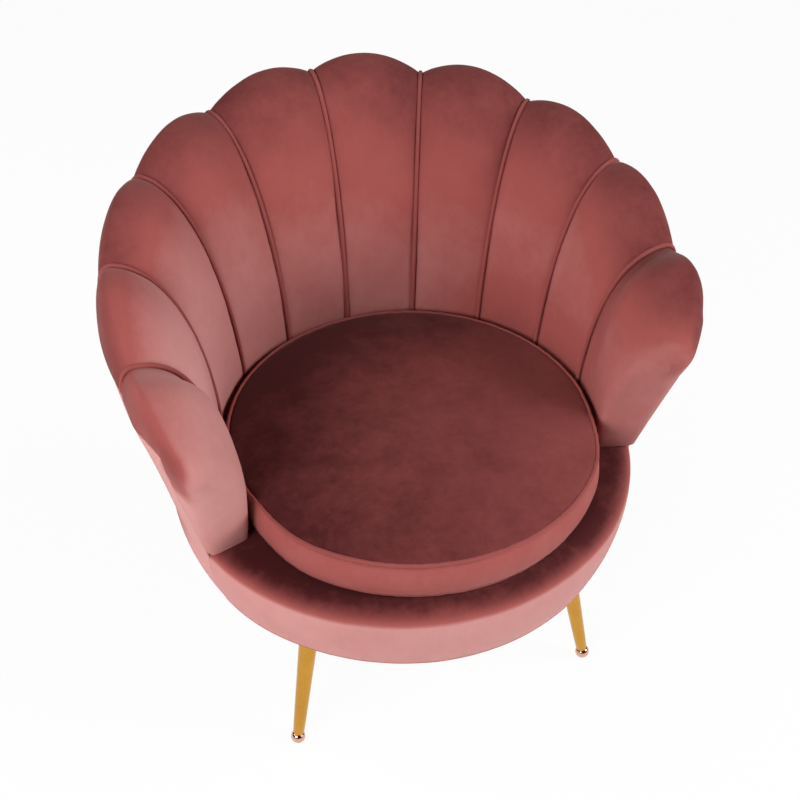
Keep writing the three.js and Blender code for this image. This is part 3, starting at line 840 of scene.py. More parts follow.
@dataclass
class RimSection:
    """A section's points in radius and height with each one's lean, and its lay with painted shade and
    light.
    """

    points: list[Vector] = field(default_factory=list)
    leans: list[float] = field(default_factory=list)
    naps_and_light: list[float] = field(default_factory=list)

    def add(self, radius: float, height: float, lean: float, nap: float) -> None:
        """Adds a point.

        Args:
            radius: Its distance from the cushion's axis.
            height: Its height.
            lean: How far it leans with its seam, 0 at the foot and 1 at the rim.
            nap: How far its pile is laid, with painted shade and painted light.
        """
        self.points.append(Vector((radius, height)))
        self.leans.append(lean)
        self.naps_and_light.append(nap)


@dataclass
class PetalBack(SubAssembly):
    """Ten padded petals, the piping between them and the smooth cover behind.

    Four tables, in even steps from the left arm's front to the right one's, set painted shade and light:
    the first multiplies the lay along a petal, the second is painted light added to it where sheen falls,
    the third is the lay on the roll over the rim, painted in shade, and the fourth is painted light and
    shade added at the seat.
    """

    columns: int = 34
    hooked_columns: int = 16
    full_columns: int = 14
    front_columns: int = 30
    evenness_share: float = 0.7
    back_gap: float = 0.0009
    arm_back_gap: float = 0.0028
    arm_step: float = 0.25
    piping_radius: float = 0.0030
    piping_rise: float = 0.0036
    piping_sink: float = 0.0012
    piping_end: tuple[float, float] = (0.0020, 0.0008)
    piping_start: float = 0.358
    lump_offset: tuple[float, float] = (3, 7)
    lump_scales: tuple[float, float] = (11, 40)
    lump_depths: tuple[float, float] = (0.0024, 0.0006)
    # Painted shade and painted light, by angle round the back.
    painted_shade_scale: tuple[float, ...] = (0.6, 0.8, 1.5, 1.6, 1.6, 1.9, 2.3, 2.9, 2.3, 2.0, 1.8)
    painted_light_offset: tuple[float, ...] = (-0.58, -1.0, -0.78, -0.46, -0.2, -0.06, -0.12, -0.34, -0.48, -0.38, -0.2)
    roll_shade: tuple[float, ...] = (1.4, 2.6, 1.6, 1.1, 1.0, 1.0, 1.0, 1.0, 1.0, 1.05, 1.0)
    footing: tuple[float, ...] = (0.0, 0.0, 0.15, 0.05, -0.12, -0.2, -0.1, 0.25, 0.55, 0.5, 0.0)
    # Painted shade: a limit on how dark it goes, the side of a crest turned from the light, the band under
    # the rim, the valley by the seams, the tucked back under the roll, how early the roll's shade starts and
    # how far it reaches beside the arm's seam.
    deepest_shade: float = 0.85
    side_shade: float = 0.5
    rim_shade: float = 0.86
    seam_shade: float = 0.12
    back_shade: float = 0.5
    early_share: float = 0.12
    near_share: float = 0.3
    arm_seam_share: float = 0.35
    # Painted shade beside the arm's seam, for the left and the right arm.
    arm_seam_shades: tuple[float, float] = (0.25, 0.2)
    # A painted patch of shade on each arm's outer top corner, left and right, and the angles where it sets
    # in.
    arm_patch_shades: tuple[float, float] = (1.8, 0.8)
    patch_angles: tuple[float, float] = (98, 105)
    cover_lines: int = 110
    cover_rises: int = 52
    cover_hem: tuple[tuple[float, float], ...] = ((0.283, 0.2412), (0.292, 0.2396), (0.300, 0.2384))
    cover_lift: float = 0.0006
    cover_end_dip: float = 0.0022
    cover_edge_dip: float = 0.0016
    cover_slack: float = 0.0012
    # Painted light on the cover: barely any at the back, much on its ends over the arms.
    cover_painted_light: tuple[float, float] = (0.05, -0.8)
    hem_nap: float = 0.3

    def face(self, column: Column) -> RimSection:
        """Returns a column's inner face and its roll over the rim.

        Args:
            column: Where the column stands.

        Returns:
            The section from its foot to the roll's widest line.
        """
        form = self.form
        first, foot, angle_at = column.first, column.foot, column.angle_at
        in_arm = first == form.arm_seam
        scallop = form.scallop(min(max(column.seam - first, 0.0), 1.0), first)
        top = form.inner_face(column.seam, scallop, foot, 1.0)
        roll_shade = form.at_angle(self.roll_shade, column.side * angle_at(1))
        early = self.early_share * (roll_shade - 1)
        near = 0.0
        if in_arm:
            away = smooth(form.across(angle_at(1), 1, first), 0.0, self.arm_seam_share)
            near = column.of_side(self.arm_seam_shades) * (1 - away)
        section = RimSection()
        for share in shares(form.face_steps):
            spot = form.inner_face(column.seam, scallop, foot, share)
            lean = (spot.y - foot) / (top.y - foot)
            across = form.across(angle_at(lean), lean, first)
            full = form.shoulder(across, in_arm)
            spot.x -= form.puffed(across, share, in_arm)
            spot.x -= form.pillowed(full, share, in_arm)
            # Painted shade and light on the face: lighter or darker at the foot, darker beside the arm's
            # seam, on a crest's side turned from the light, in the valley by the seams, in the band under
            # the rim and where the roll's shade starts.
            footing = form.at_angle(self.footing, column.side * angle_at(lean)) * (1 - share) ** 3
            beside = near * smooth(share, 0.15, 0.6) * (1 - 0.7 * smooth(share, 0.8, 1.0))
            side_shaded = 0.0 if in_arm else self.side_shade * (across - 0.5) * share**3
            seam_shading = self.seam_shade * (1 - full) * (1 - share)
            nap = self.rim_shade * share**3 + seam_shading + footing + beside + side_shaded
            section.add(spot.x, spot.y, lean, nap + early * smooth(share, 0.75, 1.0))
        # The roll over the rim is painted in shade.
        start = self.rim_shade + early + self.near_share * near + side_shaded
        for share in shares(form.roll_steps)[1:]:
            turn = share * math.pi / 2
            drop = (form.roll_drop + form.scallop_rise * scallop) * (1 - math.cos(turn))
            out = form.reach(column.seam) * math.sin(turn)
            section.add(top.x + out, top.y - drop, 1.0, mix(start, roll_shade, share))
        return section

    def hooked(self, column: Column, back_gap: float) -> RimSection:
        """Returns a full section: inner face, roll, flap behind the panel and back.

        Args:
            column: Where the column stands.
            back_gap: How far the padding stays off the panel.

        Returns:
            The closed section.
        """
        form = self.form
        section = self.face(column)
        shoulder = section.points[-1]
        rim = form.rim_height(column.seam)
        flap = rim - form.roll_drop - form.roll_flap
        slot_top = rim - form.rim_padding
        for share, inward in zip(form.flap_shares, form.flap_insets):
            section.add(shoulder.x - inward, mix(shoulder.y, flap, share), 1.0, self.back_shade)
        panel_back = form.panel_inside(column.angle_at(1), slot_top) + form.panel_thickness + back_gap / 2
        for height in (flap, slot_top):
            section.add(panel_back, height, 1.0, self.back_shade)
        for share in shares(form.back_steps):
            height = mix(slot_top, column.foot, share)
            inside = form.panel_inside(column.angle_at(1 - share), height) - back_gap
            section.add(inside, height, 1 - share, self.back_shade)
        return section

    def placed(self, section: RimSection, column: Column) -> list[Stitch]:
        """Lays a section round the seat, with the small unevenness of padding.

        Args:
            section: The section, in radius and height.
            column: Where it stands.

        Returns:
            The points in their places, each with its lay and its painted shade and light.
        """
        form = self.form
        aside = Vector((self.lump_offset[0], column.side, self.lump_offset[1]))
        laid = []
        for index, (point, lean, nap) in enumerate(zip(section.points, section.leans, section.naps_and_light)):
            angle = column.side * column.angle_at(lean)
            spot = form.plan.spot(angle, point.x, point.y)
            uneven = noise.noise(spot * self.lump_scales[0] + aside) * self.lump_depths[0]
            uneven += noise.noise(spot * self.lump_scales[1]) * self.lump_depths[1]
            loose = smooth(point.y, form.lip_top, form.lip_top + 0.12)
            loose *= 1 - smooth(index, form.face_steps + 2, form.face_steps + form.roll_steps - 1)
            # Painted shade is scaled and painted light added by angle, and the darkest shade is held under a
            # limit.
            painted_light_offset = form.at_angle(self.painted_light_offset, angle) * smooth(lean, -0.5, 0.5)
            brushed = nap * form.at_angle(self.painted_shade_scale, angle) + painted_light_offset
            if brushed > 0:
                brushed = self.deepest_shade * math.tanh(brushed / self.deepest_shade)
            laid.append(Stitch(form.plan.spot(angle, point.x + uneven * loose, point.y), brushed))
        return laid

    def half_gap(self) -> float:
        """Returns half the gap between two petals, as an angle at the seat."""
        return math.degrees(self.form.soft_gap / 2 / self.form.wall_radius)

    def petal_angle(self, seam: float, aside: float, lean: float) -> float:
        """Returns a petal column's angle at a lean, set aside from its seam by half the gap."""
        return self.form.seam_angle(seam, lean) + aside

    def petal(self, first: int, side: int) -> Shape:
        """Builds a petal between two seams.

        Args:
            first: The count of the nearer seam from the middle of the back.
            side: -1 for the left, 1 for the right.

        Returns:
            The petal's bmesh.
        """
        form = self.form
        foot = form.frame_top + form.soft_gap
        sections = []
        for share in shares(self.columns):
            across = mix(share, 0.5 - 0.5 * math.cos(math.pi * share), self.evenness_share)
            aside = mix(self.half_gap(), -self.half_gap(), across)
            seam = first + across
            column = Column(seam, first, foot, side, partial(self.petal_angle, seam, aside))
            sections.append(self.placed(self.hooked(column, self.back_gap), column))
        return laid_grid(sections)

    def outer_face(self, height: float, degrees: float, lean: float, shoulder: Vector) -> float:
        """Returns the arm's outer face under its roll, inset where the outer cover lies on it.

        Args:
            height: The height.
            degrees: The angle there.
            lean: The lean there.
            shoulder: Where the roll ends, in radius and height.

        Returns:
            The face's radius.
        """
        flush = min(self.form.cover_outside(degrees, height), shoulder.x)
        return flush - self.form.cover_bed(degrees, lean) * smooth(shoulder.y - height, 0.0, 0.002)

    def arm_front(self, column: Column, turn_share: float = 0.0) -> RimSection:
        """Returns a full section of the arm in front of the panel, with a padded outer face.

        Args:
            column: Where the column stands.
            turn_share: How far the arm's front has turned round to its middle, 0 to 1.

        Returns:
            The closed section.
        """
        form = self.form
        foot, angle_at = column.foot, column.angle_at
        section = self.face(column)
        points, naps_and_light = section.points, section.naps_and_light
        top, shoulder = points[form.face_steps], points[-1]
        crest = top.y
        heights = [shoulder.y - form.roll_flap * share for share in form.flap_shares]
        heights += [mix(heights[-1], foot, share) for share in shares(form.back_steps + 3)[1:]]
        # The outer face carries the roll's painted shade high up, fading lower down.
        laid = form.at_angle(self.roll_shade, column.side * angle_at(1))
        for height in heights:
            lean = (height - foot) / (crest - foot)
            points.append(Vector((self.outer_face(height, angle_at(lean), lean, shoulder), height)))
            naps_and_light.append(laid * smooth(lean, 0.5, 0.9))
        turned = smooth(angle_at(1), form.nose_start - 4, form.nose_start + 5)
        if turned > 0:
            inside = form.face_steps + 1
            points = points[:inside] + [self.eased(point, top, column, turned) for point in points[inside:]]
        # As the front turns round, its painted shade and light fade out.
        if turn_share > 0:
            points = self.rounded(points, crest, foot, turn_share)
            naps_and_light = [nap * mix(1.0, 0.1, smooth(turn_share, 0.05, 0.6)) for nap in naps_and_light]
        # A painted patch of shade over the arm's outer top corner, fading as the front turns round.
        patch = smooth(angle_at(1), *self.patch_angles) * (1 - smooth(turn_share, 0.3, 0.7))
        leans = [(point.y - foot) / (crest - foot) for point in points]
        for index, lean in enumerate(leans):
            place = smooth(index, form.face_steps, form.face_steps + 10) * smooth(lean, 0.5, 0.75)
            naps_and_light[index] = mix(naps_and_light[index], column.of_side(self.arm_patch_shades), place * patch)
        return RimSection(points, [min(max(lean, 0.0), 1.0) for lean in leans], naps_and_light)

    def eased(self, point: Vector, top: Vector, column: Column, turned: float) -> Vector:
        """Draws a point of the arm's outer side onto one long curve from the crest to its straight side.

        Args:
            point: The point, in radius and height.
            top: The crest.
            column: Where the column stands.
            turned: How far the point moves onto the curve, 0 to 1.

        Returns:
            The point's new place.
        """
        form = self.form
        lean = (point.y - column.foot) / (top.y - column.foot)
        down = min((top.y - point.y) / form.arm_ease, 1.0)
        if down >= 1.0:
            return point
        angle = column.angle_at(lean)
        straight = form.straight_side(angle, point.y)
        straight -= form.cover_bed(angle, lean)
        curved = mix(top.x, straight, (1 - (1 - down) ** form.ease_power) ** 0.5)
        return Vector((mix(point.x, curved, turned), point.y))

    def rounded(self, points: list[Vector], crest: float, foot: float, turn_share: float) -> list[Vector]:
        """Draws a section in towards its middle line and down, as the arm's front turns round.

        Args:
            points: The section's points, in radius and height.
            crest: The height of its crest.
            foot: The height of its foot.
            turn_share: How far the front has turned round to its middle, 0 to 1.

        Returns:
            The points' new places.
        """
        form = self.form
        inner, outer = points[:form.face_steps + 1], points[form.face_steps:]
        forward = math.sin(turn_share * math.pi / 2) ** (2 / form.nose_powers[1])
        fall = math.sqrt(1 - (1 - form.nose_crown**2) * forward**2)
        turned = crest - form.nose_depth
        drawn = []
        for point in points:
            height = min(point.y, crest - form.rim_padding)
            power = mix(*form.nose_powers, (point.y - foot) / (crest - foot))
            share = max(math.cos(turn_share * math.pi / 2), 0.0) ** (2 / power)
            middle = (radius_at(inner, height) + radius_at(outer, height)) / 2
            top = point.y - max(point.y - turned, 0.0) * (1 - fall)
            drawn.append(Vector((mix(middle, point.x, max(share, form.nose_thinnest_share)), top)))
        return drawn

    def hooked_angle(self, share: float, lean: float) -> float:
        """Returns the angle at a share of the arm's hooked part and a lean."""
        form = self.form
        return mix(form.seam_angle(form.arm_seam, lean) + self.half_gap(), form.arm_end(lean), share)

    def full_angle(self, share: float, lean: float) -> float:
        """Returns the angle at a share of the arm's full part and a lean."""
        return mix(self.form.arm_end(lean) + self.arm_step, self.form.nose_start, share)

    def front_angle(self, share: float, lean: float) -> float:
        """Returns an angle in the arm's rounded front.

        Args:
            share: The share of the way round to the front's middle.
            lean: The lean.

        Returns:
            The angle.
        """
        form = self.form
        forward = math.sin(share * math.pi / 2) ** (2 / mix(*form.nose_powers, lean))
        return mix(form.nose_start, form.nose_end(lean), forward)

    def arm_column(self, angle_at: AngleAt, below: float, side: int) -> Column:
        """Returns a column of an arm.

        Args:
            angle_at: Its angle at a lean.
            below: The height of what its foot stands just over.
            side: -1 for the left arm, 1 for the right one.

        Returns:
            The column.
        """
        form = self.form
        seam = min(form.seam_at(angle_at(1)), form.arm_seam + 1.0)
        return Column(seam, form.arm_seam, below + form.soft_gap, side, angle_at)

    def arm(self, side: int) -> Shape:
        """Builds an end petal: hooked over the panel, then full, then a rounded front.

        Args:
            side: -1 for the left arm, 1 for the right one.

        Returns:
            The arm's bmesh.
        """
        form = self.form
        sections = []
        for share in shares(self.hooked_columns):
            column = self.arm_column(partial(self.hooked_angle, share), form.frame_top, side)
            sections.append(self.placed(self.hooked(column, self.arm_back_gap), column))
        for share in shares(self.full_columns):
            column = self.arm_column(partial(self.full_angle, share), form.lip_top, side)
            sections.append(self.placed(self.arm_front(column), column))
        for share in shares(self.front_columns)[1:]:
            column = self.arm_column(partial(self.front_angle, share), form.lip_top, side)
            sections.append(self.placed(self.arm_front(column, share), column))
        return laid_grid(sections)

    def piping(self, seam: int) -> Shape:
        """Lays the piping in the valley between two petals, from the seat over the rim.

        Args:
            seam: The seam's count from the middle of the back, below zero on the left.

        Returns:
            The piping's bmesh.
        """
        form = self.form
        count = abs(seam)
        side = -1 if seam < 0 else 1
        angle_at = partial(form.seam_angle, count)
        section = self.face(Column(count, count, form.frame_top + form.soft_gap, side, angle_at))
        shown = section.points
        last = len(shown) - 1
        line = []
        for index, point in enumerate(shown):
            along = (shown[min(index + 1, last)] - shown[max(index - 1, 0)]).normalized()
            sunk = smooth(index, form.face_steps + 1, last - 1)
            spot = point + Vector((-along.y, along.x)) * mix(self.piping_rise, -self.piping_sink, sunk)
            if spot.y > self.piping_start:
                line.append(form.plan.spot(side * angle_at(section.leans[index]), spot.x, spot.y))
        back, down = self.piping_end
        line[-1] = form.plan.spot(side * angle_at(1), shown[-1].x - back, shown[-1].y - down)
        return tube(line, self.piping_radius, 4, 12)

    def cover_angle(self, turn: float, lean: float) -> float:
        """Returns the angle of an upright line of the cover, which leans forward at the arms.

        Args:
            turn: The line's place round the cover, from -1 to 1.
            lean: The lean.

        Returns:
            The angle.
        """
        form = self.form
        back = form.arm_seam / (form.arm_seam + 1.2)
        arm_angle = form.arm_seam * form.rim_angle
        if abs(turn) <= back:
            return turn / back * form.arm_seam * form.rim_angle
        reach = mix(arm_angle, form.cover_end(lean), (abs(turn) - back) / (1 - back))
        return math.copysign(reach, turn)

    def cover_row(self, turn: float, arm: BVHTree) -> list[Stitch]:
        """Returns one upright line of the cover, from its hem under the seat to its upper edge.

        Args:
            turn: The line's place round the cover, from -1 to 1.
            arm: The surface of the arm on that side.

        Returns:
            The line's points.
        """
        form = self.form
        plan = form.plan
        aside = abs(turn)
        top = form.cover_top(form.seam_at(self.cover_angle(turn, 1)))
        angle = self.cover_angle(turn, 0)
        row = [Stitch(plan.spot(angle, plan.from_base(angle, circle), height), self.hem_nap)
               for circle, height in self.cover_hem]
        # Painted light on the cover's ends over the arms, where sheen and side light fall.
        nap = mix(*self.cover_painted_light, smooth(aside, 0.6, 0.85))
        for rise in shares(self.cover_rises):
            height = mix(form.underside + self.cover_lift, top, rise)
            lean = max(0.0, (height - form.frame_top) / (top - form.frame_top))
            angle = self.cover_angle(turn, lean)
            radius = self.cover_radius(angle, height, arm)
            radius -= self.cover_end_dip * smooth(aside, 0.992, 1.0) * smooth(lean, 0.0, 0.05)
            radius -= self.cover_edge_dip * smooth(rise, 0.985, 1.0) ** 2
            slack = noise.noise(plan.spot(angle, radius, height) * 9 + Vector((0, 0, 4))) * self.cover_slack
            radius += slack * smooth(1 - aside, 0.15, 0.3) * (1 - smooth(rise, 0.8, 0.95))
            pucker = abs(noise.noise(Vector((height * 85, turn * 3, 0)))) * smooth(aside, 0.93, 0.985)
            fading = smooth(lean, 0.0, 0.1) * (1 - smooth(aside, 0.985, 1.0))
            radius += pucker * self.cover_slack * fading
            row.append(Stitch(plan.spot(angle, radius, height), nap))
        return row

    def cover(self, arms: list[BVHTree]) -> Shape:
        """Returns the smooth cover behind the petals and over the arms' outer faces.

        Args:
            arms: The two arms' surfaces, on which the cover's ends lie.

        Returns:
            The cover with its hem turned under the seat.
        """
        turns = [2 * share - 1 for share in shares(self.cover_lines)]
        bm = laid_grid([self.cover_row(turn, arms[0 if turn < 0 else 1]) for turn in turns], closed=False)
        bmesh.ops.recalc_face_normals(bm, faces=bm.faces)
        outer = max(bm.faces, key=lambda face: face.calc_center_median().y)
        if outer.normal.y < 0:
            bmesh.ops.reverse_faces(bm, faces=bm.faces)
        bmesh.ops.solidify(bm, geom=bm.faces[:], thickness=self.form.cover_thickness)
        return bm

    def cover_radius(self, degrees: float, height: float, arm: BVHTree) -> float:
        """Finds the cover's outside, which lies on the arm where it passes the panel's end.

        Args:
            degrees: The angle.
            height: The height.
            arm: The surface of the arm on that side.

        Returns:
            The distance from the cushion's axis.
        """
        form = self.form
        outside = form.cover_outside(degrees, height)
        if abs(degrees) < form.nose_start or height < form.lip_top + 0.002:
            return outside
        start = form.plan.spot(degrees, 0.6, height)
        inward = (form.plan.spot(degrees, 0.0, height) - start).normalized()
        found = arm.ray_cast(start, inward)[0]
        if found is None:
            return outside
        radius = math.hypot(found.x, found.y - form.plan.seat_y) + form.cover_thickness + 0.0002
        return mix(outside, radius, smooth(abs(degrees), form.nose_start, form.nose_start + 0.4))

    def build(self) -> None:
        """Makes every petal, the piping and the outer cover."""
        form = self.form
        middle = form.arm_seam + 1
        for seam in range(1, form.arm_seam + 1):
            for side, number in ((-1, middle + 1 - seam), (1, middle + seam)):
                piece = self.piece(f"petal_{number}", self.petal(seam - 1, side), Finish.VELVET,
                                   f"back_petal_{number}")
        arms = []
        for side, number in ((-1, 1), (1, 2 * middle)):
            bm = self.arm(side)
            arms.append(BVHTree.FromBMesh(bm))
            piece = self.piece(f"arm_{number}", bm, Finish.VELVET, f"back_petal_{number}")
        for seam in range(-form.arm_seam, form.arm_seam + 1):
            self.piece(f"petal_piping_{middle + seam}", self.piping(seam), Finish.PIPING,
                       f"back_welt_{middle + seam}")
        self.piece("outside_back", self.cover(arms), Finish.VELVET, "outer_cover")


def radius_at(chain: list[Vector], height: float) -> float:
    """Finds where a chain of points crosses a height.

    Args:
        chain: The points, in radius and height.
        height: The height.

    Returns:
        The radius there, or that of the nearest point if none is so high or so low.
    """
    for first, second in zip(chain, chain[1:]):
        low, high = sorted((first, second), key=lambda point: point.y)
        if low.y <= height <= high.y:
            return mix(low.x, high.x, (height - low.y) / max(high.y - low.y, 1e-6))
    return min(chain, key=lambda point: abs(point.y - height)).x


def tube(line: list[Vector], radius: float, finer: int, sides: int) -> Shape:
    """Returns a round tube along a line of points, ends filled.

    Args:
        line: The points of the tube's middle.
        radius: Its radius.
        finer: How many steps each stretch of the line gets.
        sides: How many sides it has.

    Returns:
        The closed tube.
    """
    fine = []
    last = len(line) - 1
    for index in range(last):
        before, here = line[max(index - 1, 0)], line[index]
        there, after = line[index + 1], line[min(index + 2, last)]
        for t in shares(finer)[:-1]:
            fine.append(0.5 * (2 * here + (there - before) * t
                               + (2 * before - 5 * here + 4 * there - after) * t**2
                               + (3 * here - before - 3 * there + after) * t**3))
    fine.append(line[-1])
    sections = []
    normal = None
    for index, spot in enumerate(fine):
        along = (fine[min(index + 1, len(fine) - 1)] - fine[max(index - 1, 0)]).normalized()
        normal = (normal or along.orthogonal()).copy()
        normal = (normal - along * normal.dot(along)).normalized()
        aside = along.cross(normal)
        size = radius * (1 + 0.05 * noise.noise(spot * 130))
        sections.append([
            Stitch(spot + (normal * math.cos(turn) + aside * math.sin(turn)) * size)
            for turn in (2 * math.pi * share for share in shares(sides)[:-1])
        ])
    return laid_grid(sections)


@dataclass
class SeatBase(SubAssembly):
    """The seat base: its padded front lip, the ply rings, the webbing and what covers them."""

    lap: float = 0.040
    hem: float = 0.020
    hem_rises: tuple[float, float] = (0.0025, 0.005)
    ring_gap: float = 0.0013
    top_gap: float = 0.0004
    # Painted shade on the lip's top and round its shoulder, and painted light down its side.
    lip_top_shades: tuple[float, float] = (1.25, 1.15)
    shoulder_shade: float = 1.2
    side_light: float = -0.64
    corner_nap: float = 0.1
    hidden_nap: float = 0.3
    cover_gap_degrees: float = 0.15
    lip_columns: int = 96
    quilt_pitch: float = 0.045
    quilt_depth: float = 0.0007
    cloth_sag: float = 0.0006
    cloth_faces: tuple[float, float] = (0.0004, 0.0012)

    def lip_outline(self) -> list[tuple[float, float, float]]:
        """Draws the lip's top, round shoulder, side, lower corner and hidden inside.

        Returns:
            The points' distances from the base's axis, their heights and lays with painted shade and light.
        """
        form = self.form
        shoulder = form.side_top
        inner = form.ring_radius - self.lap
        flat = form.base_radius - form.shoulder_width
        foot = form.base_radius - form.base_taper - form.corner
        # The top is painted in shade, darkest by the cushion, and the shoulder fades into painted light down
        # the side.
        outline = [(mix(inner, flat, share), form.lip_top, mix(*self.lip_top_shades, share))
                   for share in shares(8)]
        for share in shares(12)[1:]:
            turn = (1 - share) * math.pi / 2
            outline.append((flat + form.shoulder_width * math.cos(turn),
                            shoulder + form.shoulder_drop * math.sin(turn),
                            mix(self.shoulder_shade, self.side_light, share**2.2)))
        for share in shares(16)[1:]:
            height = mix(shoulder, form.underside + form.corner, share)
            outline.append((form.base_side(height), height, self.side_light))
        for share in shares(6)[1:]:
            turn = share * math.pi / 2
            outline.append((foot + form.corner * math.cos(turn),
                            form.underside + form.corner * (1 - math.sin(turn)), self.corner_nap))
        ring = form.ring_radius + self.ring_gap
        ledge = form.frame_top + self.top_gap
        hidden = ((foot - self.hem, form.underside + self.hem_rises[0]),
                  (ring, form.underside + self.hem_rises[1]), (ring, ledge), (inner, ledge))
        return outline + [(circle, height, self.hidden_nap) for circle, height in hidden]

    def lip(self) -> Shape:
        """Lays the padded lip round the front from arm to arm.

        Returns:
            The lip's bmesh.
        """
        form = self.form
        plan = form.plan
        clear = form.cover_foot_end + self.cover_gap_degrees
        inner = form.ring_radius - self.lap
        outline = self.lip_outline()
        sections = []
        for share in shares(self.lip_columns):
            degrees = mix(clear, 360 - clear, share)
            open_lip = smooth(min(degrees, 360 - degrees), form.nose_foot + 0.5, form.nose_foot + 8)
            row = []
            for circle, height, nap in outline:
                radius = plan.from_base(degrees, circle)
                spot = plan.spot(degrees, radius, height)
                free = smooth(circle, form.base_radius - 0.045, form.base_radius - 0.02)
                radius += lumps(spot, (8, 0.0020), (30, 0.0004)) * free
                if height > form.lip_top - 0.004 and circle > inner + 0.01:
                    height += noise.noise(spot * 13 + Vector((5, 0, 0))) * 0.0012 * open_lip
                row.append(Stitch(plan.spot(degrees, radius, height), nap))
            sections.append(row)
        return laid_grid(sections)

    def deck(self) -> Shape:
        """Spins the thin padded deck under the cushion, quilted in rings.

        Returns:
            The deck's bmesh.
        """
        radius, bottom, top = disc("deck_pad")
        profile = [(0, bottom), (radius * 0.99, bottom), (radius, (bottom + top) / 2),
                   (radius * 0.985, top - 0.0008)]
        for share in shares(24):
            place = radius * 0.97 * (1 - share)
            dip = self.quilt_depth * (0.5 + 0.5 * math.cos(2 * math.pi * place / self.quilt_pitch))
            profile.append((place, top - 0.0002 - dip))
        return spun(profile, self.form.plan.seat_y, 96)

    def dust_cloth(self) -> Shape:
        """Spins the thin cloth stretched under the seat, which sags a little.

        Returns:
            The cloth's bmesh.
        """
        radius, bottom, _ = disc("dust_cover")
        profile = []
        for rise, way in zip(self.cloth_faces, (1, -1)):
            for share in shares(20)[::way]:
                sag = self.cloth_sag * math.cos(share * math.pi / 2)
                profile.append((radius * share, bottom + rise - sag))
        return spun(profile, self.form.plan.base_y, 120)

    def build(self) -> None:
        """Makes the lip, the deck and the dust cloth, and dresses the solids that stay."""
        lip = self.piece("front_lip", self.lip(), Finish.VELVET, "lip_cover", "lip_foam")
        deck = self.piece("deck_cloth", self.deck(), Finish.BLACK_CLOTH, "deck_pad")
        dust = self.piece("dust_cloth", self.dust_cloth(), Finish.BLACK_CLOTH, "dust_cover")
        plywood = ["seat_ring_lower", "seat_ring_upper", "back_panel"]
        plywood += [f"frame_block_{number}" for number in range(1, 5)]
        plywood += [f"back_rib_{number}" for number in range(1, 6)]
        for name in plywood:
            self.wardrobe.dress_node(name, Finish.PLYWOOD)
        for name in ("strap_long_1", "strap_long_2", "strap_cross_1", "strap_cross_2"):
            self.wardrobe.dress_node(name, Finish.WEBBING)


def disc(node: str) -> tuple[float, float, float]:
    """Returns a round solid's radius, its bottom and its top."""
    low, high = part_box(node)
    return (high[0] - low[0]) / 2, low[2], high[2]


def lumps(spot: Vector, *layers: tuple[float, float]) -> float:
    """Returns the sum of layers of noise at a place, each of a scale and a depth in metres."""
    return sum(noise.noise(spot * scale) * depth for scale, depth in layers)


def spun(profile: Outline, axis_y: float, steps: int) -> Shape:
    """Spins a profile that starts and ends on its axis a full turn about an upright axis.

    Args:
        profile: The distances of its points from the axis, each with its height.
        axis_y: The axis's place along Y.
        steps: How many steps the turn has.

    Returns:
        The closed bmesh, faces outwards.
    """
    bm = bmesh.new()
    verts = [bm.verts.new((radius, axis_y, height)) for radius, height in profile]
    edges = [bm.edges.new((first, second)) for first, second in zip(verts, verts[1:])]
    bmesh.ops.spin(bm, geom=verts + edges, cent=(0, axis_y, 0), axis=(0, 0, 1), angle=2 * math.pi,
                   steps=steps, use_merge=True)
    bmesh.ops.remove_doubles(bm, verts=bm.verts, dist=1e-5)
    bmesh.ops.recalc_face_normals(bm, faces=bm.faces)
    return bm


@dataclass(frozen=True)
class Filling:
    """A cloth simulation that blows up a slack cover, as its filling does."""

    voxel: float = 0.0056
    pressure: float = 4.0
    cap: float = 0.007
    quality: int = 5
    mass: float = 0.3
    frames: int = 20

    def blown(self, bm: Shape, held: Callable[[Vector], float]) -> Shape:
        """Fills a closed cover.

        Args:
            bm: The slack cover, which is freed.
            held: How firmly a point is held in its place, 0 to 1, as at a sewn seam.

        Returns:
            The filled cover.
        """
        scene = bpy.context.scene
        mesh = bpy.data.meshes.new("slack_cover")
        bm.to_mesh(mesh)
        bm.free()
        cover = bpy.data.objects.new("slack_cover", mesh)
        scene.collection.objects.link(cover)
        even = cover.modifiers.new("even", "REMESH")
        even.mode = "VOXEL"
        even.voxel_size = self.voxel
        slack = self.settled(cover)
        cover.modifiers.clear()
        cover.data = slack
        seams = cover.vertex_groups.new(name="seams")
        for vertex in slack.vertices:
            seams.add([vertex.index], held(vertex.co), "REPLACE")
        cloth = cover.modifiers.new("cloth", "CLOTH")
        cloth.settings.quality = self.quality
        cloth.settings.mass = self.mass
        cloth.settings.vertex_group_mass = "seams"
        cloth.settings.use_pressure = True
        cloth.settings.uniform_pressure_force = self.pressure
        cloth.settings.effector_weights.gravity = 0
        cloth.point_cache.frame_start = 1
        cloth.point_cache.frame_end = self.frames
        for number in range(1, self.frames + 1):
            scene.frame_set(number)
        full = self.settled(cover)
        scene.frame_set(1)
        for before, after in zip(slack.vertices, full.vertices):
            step = after.co - before.co
            if step.length > self.cap:
                after.co = before.co + step.normalized() * self.cap
        filled = bmesh.new()
        filled.from_mesh(full)
        bpy.data.objects.remove(cover)
        for spare in (mesh, slack, full):
            bpy.data.meshes.remove(spare)
        LOG.info("a cover of %d points filled by simulation", len(filled.verts))
        return filled

    @staticmethod
    def settled(piece: bpy.types.Object) -> bpy.types.Mesh:
        """Returns a new mesh of a piece with its modifiers applied."""
        return bpy.data.meshes.new_from_object(piece.evaluated_get(bpy.context.evaluated_depsgraph_get()))


